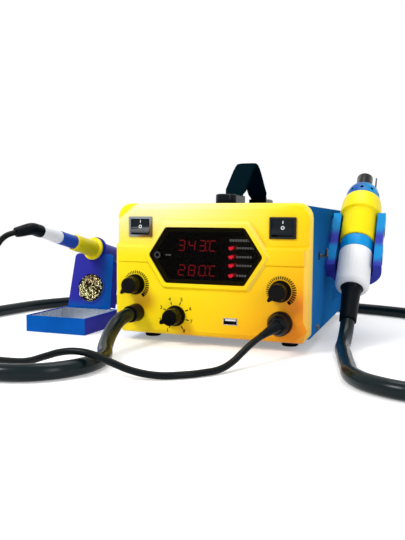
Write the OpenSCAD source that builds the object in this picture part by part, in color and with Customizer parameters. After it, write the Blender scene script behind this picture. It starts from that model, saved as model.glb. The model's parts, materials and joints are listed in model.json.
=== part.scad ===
// Hot air rework station: control unit with a carrying handle, hot air gun in a side holder,
// soldering iron in its own stand. The origin is on the bench, under the middle of the front
// panel. +X is to the right, +Y to the back, +Z up.

/* [Control unit] */
// Width of the front panel
panel_w = 200; // [190:2:220]
// Height of the front panel
panel_h = 131; // [128:1:140]
// Depth of the front panel moulding
panel_d = 14; // [13:0.5:18]
// Wall of the front panel moulding
panel_wall = 3; // [2.5:0.25:3.5]
// Depth of the blue case cover
case_d = 252; // [240:2:280]
// How far the cover stays inside the panel's outline
case_inset = 1.5; // [1:0.25:3]
// Sheet thickness of the cover and base
sheet_t = 1.2; // [1:0.1:1.6]
// Corner radius of the cover
cover_r = 10; // [9:0.5:12]
// Height of the rubber feet
foot_h = 9; // [7:0.5:12]
// Diameter of a rubber foot
foot_d = 18; // [14:1:22]
// Depth of the front panel's set-back upper field
upper_step = 6; // [4:0.5:7]

/* [Front panel features] */
// Distance of the display window's centre below the panel's top
window_drop = 51; // [50:0.5:53]
// Sideways place of the display window's centre
window_x = -2; // [-4:0.5:2]
// Half width of the window at its pointed sides
window_point = 58.5; // [56:0.5:60]
// Half width of the window along its top and bottom
window_flat = 40.5; // [38:0.5:44]
// Half height of the window
window_half_h = 27.5; // [26:0.5:28]
// Width of the raised surround round the window
surround = 6; // [5:0.5:7]
// Distance of each rocker switch from the middle
switch_x = 73; // [72:0.5:76]
// Distance of the rocker switches' centres below the panel's top
switch_drop = 23.5; // [22.5:0.5:25]
// Width of a switch bezel
bezel_w = 25.5; // [24:0.5:27]
// Height of a switch bezel
bezel_h = 20.5; // [19:0.5:22]
// Travel of a rocker between its two positions, in degrees
rocker_swing = 20; // [14:1:24]
// Diameter of a knob's skirt
knob_d = 21; // [19:0.5:23]
// Length of a knob
knob_l = 17; // [15:0.5:20]
// Diameter of the potentiometer shafts
shaft_d = 6; // [5:0.5:6.5]
// Gap between a knob and the panel
knob_gap = 0.6; // [0.4:0.1:1.5]

/* [Handle] */
// Width of the strap
strap_w = 23; // [20:0.5:26]
// Thickness of the strap's grip
strap_t = 6; // [5:0.5:7]
// Height of the arch above the cover
arch_h = 52; // [46:1:58]
// Distance between the two end caps' centres
cap_span = 138; // [130:1:150]
// Length of an end cap
cap_l = 44; // [42:1:46]
// Width of an end cap
cap_w = 22; // [20:0.5:24]
// Height of an end cap
cap_h = 12.5; // [11:0.5:14]

/* [Hot air gun] */
// Diameter of the barrel
barrel_d = 37; // [35.5:0.5:38]
// Diameter of the barrel's flared head
head_d = 45; // [44:0.5:47]
// Diameter of the white grip
grip_d = 34.5; // [32:0.5:36]
// Diameter of the nozzle pipe, over which nozzles clamp
pipe_d = 18; // [16:0.5:20]
// Length of the nozzle pipe that stands out of the vent collar
pipe_l = 18; // [14:1:22]
// Length of the grip behind the ring
grip_l = 46; // [44:1:52]
// Length of the ring and the barrel up to the flare
barrel_l = 53; // [51:1:58]
// Tilt of the gun above the bench, in degrees
gun_tilt = 47; // [44:1:50]
// Wall of the moulded holder
holder_wall = 8.4; // [6:0.2:9]
// Sideways clearance of the barrel in its holder
holder_gap = 0.9; // [0.6:0.1:1.2]

/* [Iron stand] */
// Width of the stand's tray
tray_w = 74; // [70:1:80]
// Depth of the stand's tray
tray_d = 77; // [74:1:84]
// Height of the stand's tray
tray_h = 18; // [16:0.5:22]
// Sheet thickness of the stand
stand_t = 1.5; // [1.2:0.1:2]
// Width of the upright plate at its foot
plate_w = 58; // [54:1:62]
// Width of the upright plate at its shoulders
plate_top_w = 52; // [48:1:54]
// Height of the shoulders above the tray's rim, along the plate
plate_h = 66; // [62:1:72]
// Lean of the plate and of the iron, in degrees
lean = 13; // [10:1:16]
// Diameter of the opening for the wire wool
wool_d = 34; // [32:0.5:37]
// Diameter of the iron's finger flange
flange_d = 27.5; // [26:0.5:29]
// Length of the iron's handle from flange to boot
handle_l = 97; // [90:1:105]

/* [Hidden] */
$fn = 64;
tiny = 0.01;
fit = 0.3;

// Where things lie along the unit
cover_y0 = panel_d;
cover_y1 = cover_y0 + case_d;
cover_hw = panel_w / 2 - case_inset;
cover_top = panel_h - case_inset;
cover_bottom = 3;
upper_face = upper_step;
raised = 1.5;
surround_lift = 3;
window_z = panel_h - window_drop;
switch_z = panel_h - switch_drop;
band_z0 = window_z - 7;
band_z1 = window_z + 7;
edge_inset = 5.5;
lip_inset = 1.8;
outlet_x = -75;
outlet_z = 21;
socket_x = 73.5;
knob_row_x = 76;
knob_row_z = (outlet_z + band_z0) / 2 + 2.5;
air_x = -32;
air_z = 20;
usb_x = 24.5;
usb_z = 17.5;
usb_w = 14.6;
usb_h = 7;

// A fillet of radius r at corner b, on the way from a to c, as n + 1 points of an arc
function arc_corner(a, b, c, r, n) =
    let (u = (a - b) / norm(a - b), v = (c - b) / norm(c - b),
        half = acos(u * v) / 2, reach = r / tan(half),
        mid = b + (u + v) / norm(u + v) * r / sin(half),
        p = b + u * reach, q = b + v * reach,
        a0 = atan2(p[1] - mid[1], p[0] - mid[0]), a1 = atan2(q[1] - mid[1], q[0] - mid[0]),
        sweep = (a1 - a0) - 360 * round((a1 - a0) / 360))
    [for (i = [0:n]) mid + r * [cos(a0 + sweep * i / n), sin(a0 + sweep * i / n)]];

// A closed outline with every corner rounded
function rounded(pts, r, n = 5) =
    [for (i = [0:len(pts) - 1]) each arc_corner(pts[(i + len(pts) - 1) % len(pts)], pts[i],
        pts[(i + 1) % len(pts)], is_list(r) ? r[i] : r, n)];

function box_outline(w, h) = [[-w / 2, 0], [w / 2, 0], [w / 2, h], [-w / 2, h]];

// Stands an outline drawn in X and Z between two depths
module upright(y0, y1) {
    translate([0, y1, 0]) rotate([90, 0, 0]) linear_extrude(y1 - y0) children();
}

// A round bar along Y
module bar_y(d, y0, y1) {
    translate([0, y1, 0]) rotate([90, 0, 0]) cylinder(d = d, h = y1 - y0);
}

module on_bench() { translate([0, 0, foot_h]) children(); }

// The front panel's outline, drawn inwards by inset. Its lower corners are cut more towards the
// front, which leaves a slanted facet at each.
function panel_outline(inset, top) =
    let (w = panel_w / 2 - inset, cut = 7 + inset * 2.6, rise = 8 + inset * 2.2)
    [[-w, rise], [-w + cut, inset], [w - cut, inset], [w, rise], [w, top], [-w, top]];

module panel_slice(inset, y0, y1, top, top_r) {
    upright(y0, y1) polygon(rounded(panel_outline(inset, top), [3, 3, 3, 3, top_r, top_r]));
}

// The window's outline, drawn outwards by grow
function window_outline(grow) =
    let (p = window_point + grow * 1.2, q = window_flat + grow * 0.55, h = window_half_h + grow)
    [[-p, 0], [-q, -h], [q, -h], [p, 0], [q, h], [-q, h]];

module window_slice(grow, y0, y1) {
    translate([window_x, 0, window_z])
        upright(y0, y1) polygon(rounded(window_outline(grow), 4));
}

module band_half(side) {
    x0 = window_point - 6;
    x1 = panel_w / 2 - edge_inset;
    mid = (band_z0 + band_z1) / 2;
    hull() for (step = [[0, 1.2], [raised, 0]])
        translate([side * (x0 + x1 - step[1]) / 2, 0, band_z0 - step[1]])
            upright(-step[0], 2) polygon(box_outline(x1 - x0 + step[1], band_z1 - band_z0 + 2 * step[1]));
}

lower_top = band_z1 + 4;
top_r = 14;

board_bosses = [for (sx = [-1, 1], sz = [-1, 1]) [window_x + sx * 44, window_z + sz * 25]];

module front_panel() color("gold") on_bench() {
    panel_moulding();
    for (p = board_bosses) translate([p[0], 0, p[1]]) {
        bar_y(6, p[1] > lower_top ? upper_face + 1 : panel_wall - tiny, board_y);
        bar_y(3, board_y - 1, board_y + board_t + 1);
    }
}

module panel_moulding() difference() {
    union() {
        hull() {
            panel_slice(0, panel_d - 4, panel_d, panel_h, top_r);
            panel_slice(2, upper_face + 1.2, panel_d, panel_h - 2, top_r + 1);
            panel_slice(edge_inset, upper_face, panel_d, panel_h - edge_inset, top_r + 10);
        }
        hull() {
            panel_slice(0, 6, panel_d, lower_top, 1.5);
            panel_slice(lip_inset, 2, panel_d, lower_top - 1.4, 1.5);
            panel_slice(edge_inset, 0, panel_d, band_z1, 1.5);
        }
        band_half(-1);
        band_half(1);
        hull() {
            window_slice(surround, 0, upper_face + 2);
            window_slice(surround - 2.4, -surround_lift, upper_face + 2);
        }
    }
    // Hollow back, open behind both fields
    panel_slice(panel_wall, upper_face + panel_wall, panel_d + 1, panel_h - panel_wall, top_r + 1);
    panel_slice(lip_inset + panel_wall, panel_wall, panel_d, lower_top - 5, 1.5);
    // Window: a seat for the lens and the opening behind it
    window_slice(0, -surround_lift - 1, lens_y0 + lens_t);
    window_slice(-4, -surround_lift - 1, panel_d);
    for (side = [-1, 1]) translate([side * switch_x, 0, switch_z - (bezel_h - 3) / 2])
        upright(upper_face - 1, panel_d) polygon(box_outline(bezel_w - 3, bezel_h - 3));
    for (k = knob_places) translate([k[0], 0, k[1]]) bar_y(bush_d + 2 * fit, -2, panel_d);
    translate([usb_x, 0, usb_z - usb_h / 2]) upright(-2, panel_d) polygon(box_outline(usb_w, usb_h));
    translate([outlet_x, 0, outlet_z]) bar_y(gland_neck_d, -2, panel_d);
    translate([socket_x, 0, outlet_z - 2]) bar_y(socket_neck_d, -2, panel_d);
}

lens_y0 = -1.6;
lens_t = 2.2;
module display_window() color([0.06, 0.05, 0.06, 0.6]) on_bench() difference() {
    window_slice(-fit / 2, lens_y0, lens_y0 + lens_t);
    translate([jack_x, 0, window_z]) bar_y(jack_d, -5, 5);
}

jack_x = window_x - window_point + 9.5;
jack_d = 5.4;
module calibration_jack() color("silver") on_bench() translate([jack_x, 0, window_z]) difference() {
    union() {
        bar_y(jack_d, lens_y0, lens_y0 + lens_t + 8);
        bar_y(jack_d + 1.6, lens_y0 - 0.8, lens_y0);
    }
    bar_y(3.5, lens_y0 - 1, lens_y0 + 6);
}

// Two four-digit modules behind the lens, their faces flush with the board's spacer
digit_rows = [window_z + 9.5, window_z - 14.5];
module_w = 50.3;
module_h = 17.6;
module_x = -14.5;
board_y = 11.4;
board_t = 1.6;
board_w = 96;
module display_modules() color([0.12, 0.12, 0.13]) on_bench()
    for (z = digit_rows) translate([module_x, 0, z - module_h / 2])
        upright(lens_y0 + lens_t + 1.4, board_y) polygon(box_outline(module_w, module_h));

lamp_x = 25.6;
lamp_rows = [for (d = [8.3, -0.2, -8.4, -18]) window_z + d];
module pilot_lamps() color("red") on_bench() for (z = lamp_rows) translate([lamp_x, 0, z]) {
    bar_y(3, lens_y0 + lens_t + 3, board_y);
    bar_y(3.8, board_y - 1.2, board_y);
}

module display_board() color("seagreen") on_bench() translate([window_x, 0, window_z])
    difference() {
        upright(board_y, board_y + board_t) translate([0, -window_half_h - 1])
            polygon(rounded(box_outline(board_w, 2 * window_half_h + 2), 2));
        for (p = board_bosses) translate([p[0] - window_x, 0, p[1] - window_z]) bar_y(3.1, 0, 20);
    }

// Rocker switches: a bezel with its body behind the panel, and the rocker between its cheeks
bezel_lip = 2.2;
bezel_rim = 2.2;
rocker_w = bezel_w - 2 * bezel_rim - 0.6;
rocker_h = bezel_h - 2 * bezel_rim - 0.6;
rocker_y = upper_face + 2.5;
body_back = upper_face + 20;

module switch_bezel(side) color([0.12, 0.12, 0.13]) on_bench()
    translate([side * switch_x, 0, switch_z]) difference() {
        union() {
            hull() {
                upright(upper_face - 1.4, upper_face) translate([0, -bezel_h / 2])
                    polygon(rounded(box_outline(bezel_w, bezel_h), 1));
                upright(upper_face - bezel_lip, upper_face) translate([0, -bezel_h / 2 + 0.6])
                    polygon(rounded(box_outline(bezel_w - 1.2, bezel_h - 1.2), 1));
            }
            upright(upper_face, body_back) translate([0, -(bezel_h - 3.4) / 2])
                polygon(box_outline(bezel_w - 3.4, bezel_h - 3.4));
            // Terminals on the back
            for (tx = [-6, 0, 6]) translate([tx, 0, -3]) upright(body_back, body_back + 8)
                polygon(box_outline(0.8, 6));
        }
        upright(upper_face - 5, upper_face + 11) translate([0, -bezel_h / 2 + bezel_rim])
            polygon(box_outline(bezel_w - 2 * bezel_rim, bezel_h - 2 * bezel_rim));
        translate([-(bezel_w / 2 - 1.8), rocker_y, 0]) rotate([0, 90, 0])
            cylinder(d = 2.2, h = bezel_w - 3.6);
    }

// A rocker is drawn level, then turned to the side that is pressed
module rocker(side) color([0.16, 0.17, 0.19]) on_bench()
    translate([side * switch_x, rocker_y, switch_z]) rotate([-rocker_swing / 2, 0, 0])
    intersection() {
        union() {
            translate([-rocker_w / 2, 0, 0]) rotate([0, 90, 0]) linear_extrude(rocker_w)
                polygon(rocker_profile());
            translate([-(bezel_w / 2 - 2), 0, 0]) rotate([0, 90, 0])
                cylinder(d = 2, h = bezel_w - 4);
        }
        cube([bezel_w, 40, 40], center = true);
    }

// Side view of a rocker: X is down, Y to the back. Its face is two hollow slopes.
function rocker_profile() =
    let (h = rocker_h / 2 - 0.7, crown = -5.2, low = -3.6, back = 4.6)
    concat([for (i = [-6:6]) let (u = i / 6) [u * h, low + (crown - low) * pow(abs(u), 1.6)]],
        [[h * 0.62, back], [-h * 0.62, back]]);

// Knobs: a skirt, a tapered body and a beaked pointer bar across its face
knob_turn = [135, 135, 120];
knob_places = [[-knob_row_x, knob_row_z], [knob_row_x - 3, knob_row_z - 0.5], [air_x, air_z]];
bush_d = 7;
nut_d = 10;
module knob(place, turn) color([0.08, 0.08, 0.09]) on_bench()
    translate([place[0], -knob_gap, place[1]]) rotate([90, 0, 0]) rotate([0, 0, turn])
    difference() {
        union() {
            cylinder(d1 = knob_d, d2 = knob_d - 1, h = 3);
            translate([0, 0, 3]) cylinder(d1 = knob_d - 3.4, d2 = knob_d - 5.4, h = knob_l - 4.2);
            translate([0, 0, 3]) linear_extrude(knob_l - 3) polygon(pointer_outline());
        }
        translate([0, 0, -1]) cylinder(d = shaft_d + 0.02, h = knob_l - 2);
        translate([0, 0, -1]) cylinder(d = nut_d + 1, h = 4.2);
    }

// The pointer bar seen from the front, with its beak towards +Y
function pointer_outline() =
    let (r = knob_d / 2 - 2.2, tip = knob_d / 2 + 0.6)
    [[-1.1, tip], [-3.4, r * 0.55], [-4.6, -r * 0.2], [-4.2, -r * 0.75], [-2.2, -r],
        [2.2, -r], [4.2, -r * 0.75], [4.6, -r * 0.2], [3.4, r * 0.55], [1.1, tip]];

shaft_in = 11.5;
module pot_shaft(place) color("silver") on_bench() translate([place[0], 0, place[1]])
    bar_y(shaft_d, -knob_l + 4, shaft_in);

// A potentiometer: bush and nut through the panel, round body, three tags
module pot(place) color([0.45, 0.45, 0.42]) on_bench() translate([place[0], 0, place[1]])
    difference() {
        union() {
            bar_y(bush_d, -1.8, panel_wall + 1);
            rotate([90, 0, 0]) cylinder(d = nut_d, h = 1.6, $fn = 6);
            bar_y(16.5, panel_wall, panel_wall + 9);
            for (x = [-5, 0, 5]) translate([x, 0, 6.5]) upright(panel_wall + 1, panel_wall + 1.8)
                polygon(box_outline(1.6, 7));
        }
        bar_y(shaft_d + 0.1, -3, shaft_in);
    }

module usb_socket() color("silver") on_bench() translate([usb_x, 0, usb_z]) difference() {
    union() {
        upright(-0.3, 13) translate([0, -usb_h / 2])
            polygon(rounded(box_outline(usb_w, usb_h), 0.6, 3));
        translate([0, 0, 0.9]) upright(0.6, 13) polygon(box_outline(11, 1.8));
    }
    difference() {
        upright(-1, 12) translate([0, -usb_h / 2 + 0.8])
            polygon(box_outline(usb_w - 1.6, usb_h - 1.6));
        translate([0, 0, 0.6]) upright(0.6, 13) polygon(box_outline(10.6, 1.7));
    }
}

// Air hose outlet: a bush clamped in the panel, with a tapered sleeve round the hose's end
gland_neck_d = 17;
hose_d = 14;
gland_out = 16;
hose_start = 12;
module hose_gland() color([0.1, 0.1, 0.1]) on_bench() translate([outlet_x, 0, outlet_z])
    difference() {
        union() {
            bar_y(gland_neck_d - 0.4, -1, panel_wall + 8);
            rotate([90, 0, 0]) cylinder(d1 = gland_neck_d + 1.2, d2 = hose_d + 2.6, h = gland_out);
            bar_y(gland_neck_d + 5, panel_wall, panel_wall + 3.5);
        }
        bar_y(8, -hose_start - 1, panel_wall + 9);
        bar_y(hose_d + 0.8, -gland_out - 1, 0.6 - hose_start);
    }

// Round socket for the iron's plug
socket_neck_d = 18;
socket_z = outlet_z - 2;
module iron_socket() color([0.13, 0.13, 0.13]) on_bench() translate([socket_x, 0, socket_z])
    difference() {
        union() {
            bar_y(socket_neck_d - 0.4, -1, panel_wall + 12);
            bar_y(23, -2.4, 0);
            bar_y(22, panel_wall, panel_wall + 3);
        }
        bar_y(12, -3, panel_wall + 10);
    }

// The plug points forward and down to the left, as its boot pulls it
plug_l = 19;
module iron_plug() color([0.09, 0.09, 0.1]) on_bench() translate([socket_x, 0, socket_z]) {
    bar_y(11.6, -4, panel_wall + 6);
    rotate([90, 0, 0]) rotate_extrude()
        polygon([[0, 2.4], [11.4, 2.4], [11.4, 6], [10.4, 7.5], [9.4, 14], [7.5, plug_l],
            [6, plug_l + 1], [0, plug_l + 1]]);
    translate([0, -plug_l - 0.5, 0]) rotate(plug_aim) rotate([90, 0, 0]) rotate_extrude()
        polygon([[0, 0], [6, 0], [5.4, 4], [4.4, 9], [3.6, 16], [3, 24], [0, 24]]);
}
plug_aim = [14, 0, -20];

// Cover: a folded sheet over the top and both sides, with vent slots low on the left
module cover_slice(inset, y0, y1) {
    upright(y0, y1) polygon(rounded([[-cover_hw + inset, cover_bottom + inset - tiny],
        [cover_hw - inset, cover_bottom + inset - tiny], [cover_hw - inset, cover_top - inset],
        [-cover_hw + inset, cover_top - inset]], [0.5, 0.5, cover_r - inset, cover_r - inset], 6));
}

module case_cover() color("royalblue") on_bench() difference() {
    cover_slice(0, cover_y0, cover_y1);
    difference() {
        cover_slice(sheet_t, cover_y0 - 1, cover_y1 + 1);
        // Flanges folded under along both sides, which the base's screws hold
        for (side = [-1, 1]) translate([side * (cover_hw - 6), (cover_y0 + cover_y1) / 2, 0])
            cube([12, case_d, 2 * (cover_bottom + sheet_t)], center = true);
    }
    translate([-cover_hw + 12, cover_y0 - 1, 0])
        cube([2 * cover_hw - 24, case_d + 2, cover_bottom + sheet_t + tiny]);
    for (side = [-1, 1], row = [0:1], k = [0:8])
        translate([side * cover_hw - 4, cover_y1 - 34 - 9 * k, 22 + 20 * row])
            cube([8, 3.2, 14]);
    for (y = screw_ys, side = [-1, 1]) translate([side * cover_hw - 4, y, screw_z])
        rotate([0, 90, 0]) cylinder(d = 3.4, h = 8);
    for (p = handle_bolts) translate([0, p, cover_top - 4]) cylinder(d = 4.4, h = 8);
    for (p = holder_bolts) translate([cover_hw - 4, p[0], p[1]])
        rotate([0, 90, 0]) cylinder(d = 3.4, h = 8);
}

screw_z = cover_bottom + 6;
screw_ys = [cover_y0 + 40, cover_y1 - 30];
module pan_screw(d, h) {
    cylinder(d = d, h = h);
    translate([0, 0, h]) difference() {
        cylinder(d1 = 2 * d, d2 = 1.5 * d, h = 0.7 * d);
        for (a = [0, 90]) rotate([0, 0, a]) translate([0, 0, 0.7 * d])
            cube([1.3 * d, 0.3 * d, 0.8 * d], center = true);
    }
}

module cover_screws() color("dimgray") on_bench()
    for (y = screw_ys, side = [-1, 1])
        translate([side * (cover_hw - 7 - sheet_t), y, screw_z]) rotate([0, side * 90, 0])
            pan_screw(3, 7 + sheet_t);

// Base: a sheet pan inside the cover, its sides folded up
base_z = cover_bottom + sheet_t + 0.2;
base_hw = cover_hw - sheet_t - 0.3;
module base_chassis() color([0.15, 0.15, 0.16]) on_bench() difference() {
    union() {
        translate([-base_hw, cover_y0 + 0.2, base_z]) cube([2 * base_hw, case_d - 1.8, sheet_t]);
        for (side = [-1, 1]) translate([side * (base_hw - sheet_t / 2) - sheet_t / 2,
            cover_y0 + 0.2, base_z]) cube([sheet_t, case_d - 1.8, 14]);
        // The foot of the pan shows below the cover between its flanges
        translate([-cover_hw + 12.3, cover_y0 + 0.2, 1.4])
            cube([2 * cover_hw - 24.6, case_d - 1.8, base_z - 1.4 + tiny]);
    }
    for (y = screw_ys, side = [-1, 1]) translate([side * base_hw - 5, y, screw_z])
        rotate([0, 90, 0]) cylinder(d = 3.1, h = 10);
    for (p = foot_places) translate([p[0], p[1], -1]) cylinder(d = 4, h = 12);
    for (k = [0:7], side = [-1, 1])
        translate([side * 26 - 17, cover_y0 + 60 + 9 * k, -1]) cube([34, 3.2, 12]);
}

foot_places = [for (x = [-1, 1], y = [cover_y0 + 26, cover_y1 - 24]) [x * (cover_hw - 24), y]];
module rubber_feet() color([0.08, 0.08, 0.08]) for (p = foot_places) translate([p[0], p[1], 0]) {
    rotate_extrude() polygon(concat([[0, 0], [foot_d / 2 - 2, 0]],
        [for (a = [0:15:90]) [foot_d / 2 - 2 + 1.2 * sin(a), 1.2 - 1.2 * cos(a)]],
        [[foot_d / 2, foot_h + 1.4], [0, foot_h + 1.4]]));
    translate([0, 0, foot_h + 1.4 - tiny]) cylinder(d = 3.6, h = 5);
}

// Rear panel: a flanged plate with a vent grille and the mains inlet
rear_t = 2;
inlet = [-52, 42];
grille = [30, 70];
module rear_panel() color([0.14, 0.14, 0.15]) on_bench() difference() {
    union() {
        upright(cover_y1, cover_y1 + rear_t) polygon(rounded([[-cover_hw, cover_bottom],
            [cover_hw, cover_bottom], [cover_hw, cover_top], [-cover_hw, cover_top]],
            [1, 1, cover_r, cover_r], 6));
        upright(cover_y1 - 6, cover_y1 + tiny) polygon([[-base_hw + 2, base_z + 3],
            [base_hw - 2, base_z + 3], [base_hw - 2, cover_top - sheet_t - 6],
            [-base_hw + 2, cover_top - sheet_t - 6]]);
    }
    upright(cover_y1 - 7, cover_y1) polygon([[-base_hw + 4, base_z + 5],
        [base_hw - 4, base_z + 5], [base_hw - 4, cover_top - sheet_t - 8],
        [-base_hw + 4, cover_top - sheet_t - 8]]);
    for (kx = [-3:3], kz = [-4:4]) translate([grille[0] + 8 * kx, 0, grille[1] + 8 * kz])
        bar_y(5, cover_y1 - 2, cover_y1 + rear_t + 2);
    translate([inlet[0], 0, inlet[1] - 14]) upright(cover_y1 - 2, cover_y1 + 4)
        polygon(box_outline(27.6, 20.6));
    for (x = [-20, 20]) translate([inlet[0] + x, 0, inlet[1] - 3.7])
        bar_y(3.4, cover_y1 - 2, cover_y1 + 4);
}

module mains_inlet() color([0.1, 0.1, 0.1]) on_bench() translate([inlet[0], cover_y1, inlet[1] - 14]) {
    difference() {
        union() {
            upright(-18, rear_t) translate([0, 0.3]) polygon(box_outline(27, 20));
            upright(rear_t, rear_t + 2.5) translate([0, -2])
                polygon(rounded([[-13, 0], [13, 0], [25, 8], [25, 16.6], [13, 24.6], [-13, 24.6],
                    [-25, 16.6], [-25, 8]], 2));
        }
        upright(-13, rear_t + 4) translate([0, 2.3])
            polygon(rounded([[-12, 0], [12, 0], [12, 11.5], [7.5, 16], [-7.5, 16], [-12, 11.5]], 1));
        for (x = [-20, 20]) translate([x, 0, 10.3]) bar_y(3.4, 0, 8);
    }
    for (p = [[-7, 4.5], [7, 4.5], [0, 9.5]]) translate([p[0], 0, p[1]]) upright(-13.5, -2)
        polygon(box_outline(2, 4));
    for (x = [-7, 0, 7]) translate([x, 0, 7]) upright(-26, -18) polygon(box_outline(6, 0.8));
}

// What the unit holds inside
board_top = base_z + sheet_t;
core_w = 66;
core_d = 48;
core_h = 56;
coil_w = 42;
coil_out = 12;
module transformer() color([0.35, 0.33, 0.32]) on_bench() translate([-48, cover_y1 - 78, board_top]) {
    translate([-core_w / 2, -core_d / 2, 4]) cube([core_w, core_d, core_h]);
    difference() {
        translate([-coil_w / 2, -core_d / 2 - coil_out, 13])
            cube([coil_w, core_d + 2 * coil_out, core_h - 18]);
        translate([-coil_w / 2 - 1, -core_d / 2, 12]) cube([coil_w + 2, core_d, core_h - 16]);
    }
    for (side = [-1, 1]) translate([side * (core_w / 2 - 1) - 6, -core_d / 2, 0]) cube([12, core_d, 4]);
}

control_w = 134;
control_d = 66;
control_y = cover_y0 + 32;

// Diaphragm pump: a frame with two bellows housings and an electromagnet, and an armature that
// rocks on a post between the housings
pump_w = 72;
pump_d = 88;
pump_at = [44, control_y + control_d + 6 + pump_d / 2];
pump_base = 8;
bellows_w = 44;
post_x = 14;
post_d = 5;
armature_z = 24;
armature_h = 12;
module air_pump() color([0.55, 0.56, 0.58]) on_bench() translate([pump_at[0], pump_at[1], board_top]) {
    difference() {
        translate([-pump_w / 2, -pump_d / 2, 0]) cube([pump_w, pump_d, pump_base]);
        for (x = [-1, 1], y = [-1, 1]) translate([x * (pump_w / 2 - 6), y * (pump_d / 2 - 6), -1])
            cylinder(d = 4, h = pump_base + 2);
    }
    for (side = [-1, 1]) translate([0, side * 34, pump_base - tiny]) difference() {
        translate([-bellows_w / 2, -8, 0]) cube([bellows_w, 16, 42]);
        translate([-4, side * -10, armature_z + armature_h / 2 - pump_base]) rotate([90, 0, 0])
            cylinder(d = 26, h = 8, center = true);
    }
    translate([-32, -14, pump_base - tiny]) cube([16, 28, 40]);
    translate([22, 34, 40]) rotate([0, 90, 0]) cylinder(d = 7, h = 14);
    translate([post_x, 0, pump_base - tiny]) cylinder(d = post_d, h = armature_z + armature_h - 6);
    translate([post_x, 0, pump_base - tiny]) cylinder(d = post_d + 4, h = armature_z - pump_base - 0.1);
}

module pump_armature() color([0.7, 0.71, 0.73]) on_bench()
    translate([pump_at[0], pump_at[1], board_top]) difference() {
        union() {
            translate([-9, -20, armature_z]) cube([10, 40, armature_h]);
            for (side = [-1, 1]) translate([-4, side * 20, armature_z + armature_h / 2])
                rotate([90, 0, 0]) cylinder(d = 18, h = 9, center = true);
            translate([0, -5, armature_z]) cube([post_x, 10, armature_h]);
            translate([post_x, 0, armature_z]) cylinder(d = 10, h = armature_h);
        }
        translate([post_x, 0, armature_z - 1]) cylinder(d = post_d + 0.1, h = armature_h + 2);
    }

module control_board() color("seagreen") on_bench() translate([-22, control_y, board_top]) {
    translate([-62, 0, 6]) cube([control_w, control_d, 1.6]);
    for (x = [-56, control_w - 68], y = [6, control_d - 6]) translate([x, y, 0]) cylinder(d = 6, h = 6);
    for (k = [0:3]) translate([-46 + 17 * k, 56, 7.6 - tiny]) cylinder(d = 12, h = 22 - 3 * k);
    translate([30, 20, 7.6 - tiny]) cube([30, 36, 3]);
    for (k = [0:2]) translate([-50, 10 + 15 * k, 7.6 - tiny]) cube([22, 3, 24]);
    translate([-18, 16, 7.6 - tiny]) cube([28, 22, 16]);
}

// Handle: a strap that arches between two end caps on the cover
handle_y = (cover_y0 + cover_y1) / 2;
cap_back = cap_l - cap_w / 2;
cap_end_y = cap_span / 2 + cap_l / 2 - cap_w / 2;
handle_bolts = [handle_y - cap_end_y - 4, handle_y + cap_end_y + 4];
leg_w = strap_w - 3;
leg_t = 3.6;
leg_z = 6;
cap_chamfer = 1.2;

module handle_cap(side) color([0.2, 0.21, 0.22]) on_bench()
    translate([0, handle_y + side * cap_end_y, cover_top]) rotate([0, 0, side < 0 ? 0 : 180])
    difference() {
        union() {
            cap_block(0, cap_h - cap_chamfer);
            hull() {
                translate([0, 0, cap_h - cap_chamfer]) cap_block(0, tiny);
                translate([0, 0, cap_h - tiny]) cap_block(cap_chamfer, tiny);
            }
        }
        // Slot in which the strap's end is held, open at the top where the strap rises
        translate([-leg_w / 2, cap_back - cap_l / 2, leg_z - leg_t / 2]) cube([leg_w, cap_l, leg_t]);
        translate([-leg_w / 2 - fit, cap_back - 18, leg_z - leg_t / 2 - 0.4])
            cube([leg_w + 2 * fit, cap_l, cap_h]);
        translate([0, -4, -1]) cylinder(d = 4.2, h = cap_h + 2);
        translate([0, -4, cap_h - 3]) cylinder(d = 8.4, h = 4);
    }

module cap_block(inset, h) {
    cylinder(r = cap_w / 2 - inset, h = h);
    translate([-cap_w / 2 + inset, 0, 0]) cube([cap_w - 2 * inset, cap_back - inset, h]);
}

module handle_screws() color("silver") on_bench() for (y = handle_bolts)
    translate([0, y, cover_top - 6]) pan_screw(4, 6 + cap_h - 3);

// The strap's centre line in Y and Z above the cover, from the front cap to the top
strap_rise = (arch_h - strap_t / 2) / 49;
strap_half = [[cap_span / 2, leg_z], [cap_span / 2 - 5, leg_z], [cap_span / 2 - 11, leg_z + 2.6],
    [cap_span / 2 - 16.5, leg_z + 6.8], [46, 18.3 * strap_rise], [40, 23 * strap_rise],
    [33, 28.8 * strap_rise], [25.5, 35 * strap_rise], [18, 41 * strap_rise],
    [11, 45.5 * strap_rise], [5, 48.3 * strap_rise], [0, 49 * strap_rise]];
strap_line = concat(strap_half,
    [for (k = [len(strap_half) - 2:-1:0]) [-strap_half[k][0], strap_half[k][1]]]);
function offset_line(line, d) = [for (i = [0:len(line) - 1])
    let (a = line[max(i - 1, 0)], b = line[min(i + 1, len(line) - 1)], u = (b - a) / norm(b - a))
    line[i] + d * [u[1], -u[0]]];
module strap_solid(w, t, lo, hi) {
    part = [for (i = [lo:hi]) strap_line[i]];
    back = offset_line(part, -t / 2);
    translate([w / 2, handle_y, cover_top]) rotate([90, 0, -90]) linear_extrude(w)
        polygon(concat(offset_line(part, t / 2), [for (i = [len(part) - 1:-1:0]) back[i]]));
}
module handle_strap() color([0.09, 0.1, 0.11]) on_bench() {
    n = len(strap_line) - 1;
    strap_solid(leg_w, leg_t, 0, n);
    strap_solid(strap_w, strap_t, 4, n - 4);
}

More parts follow.
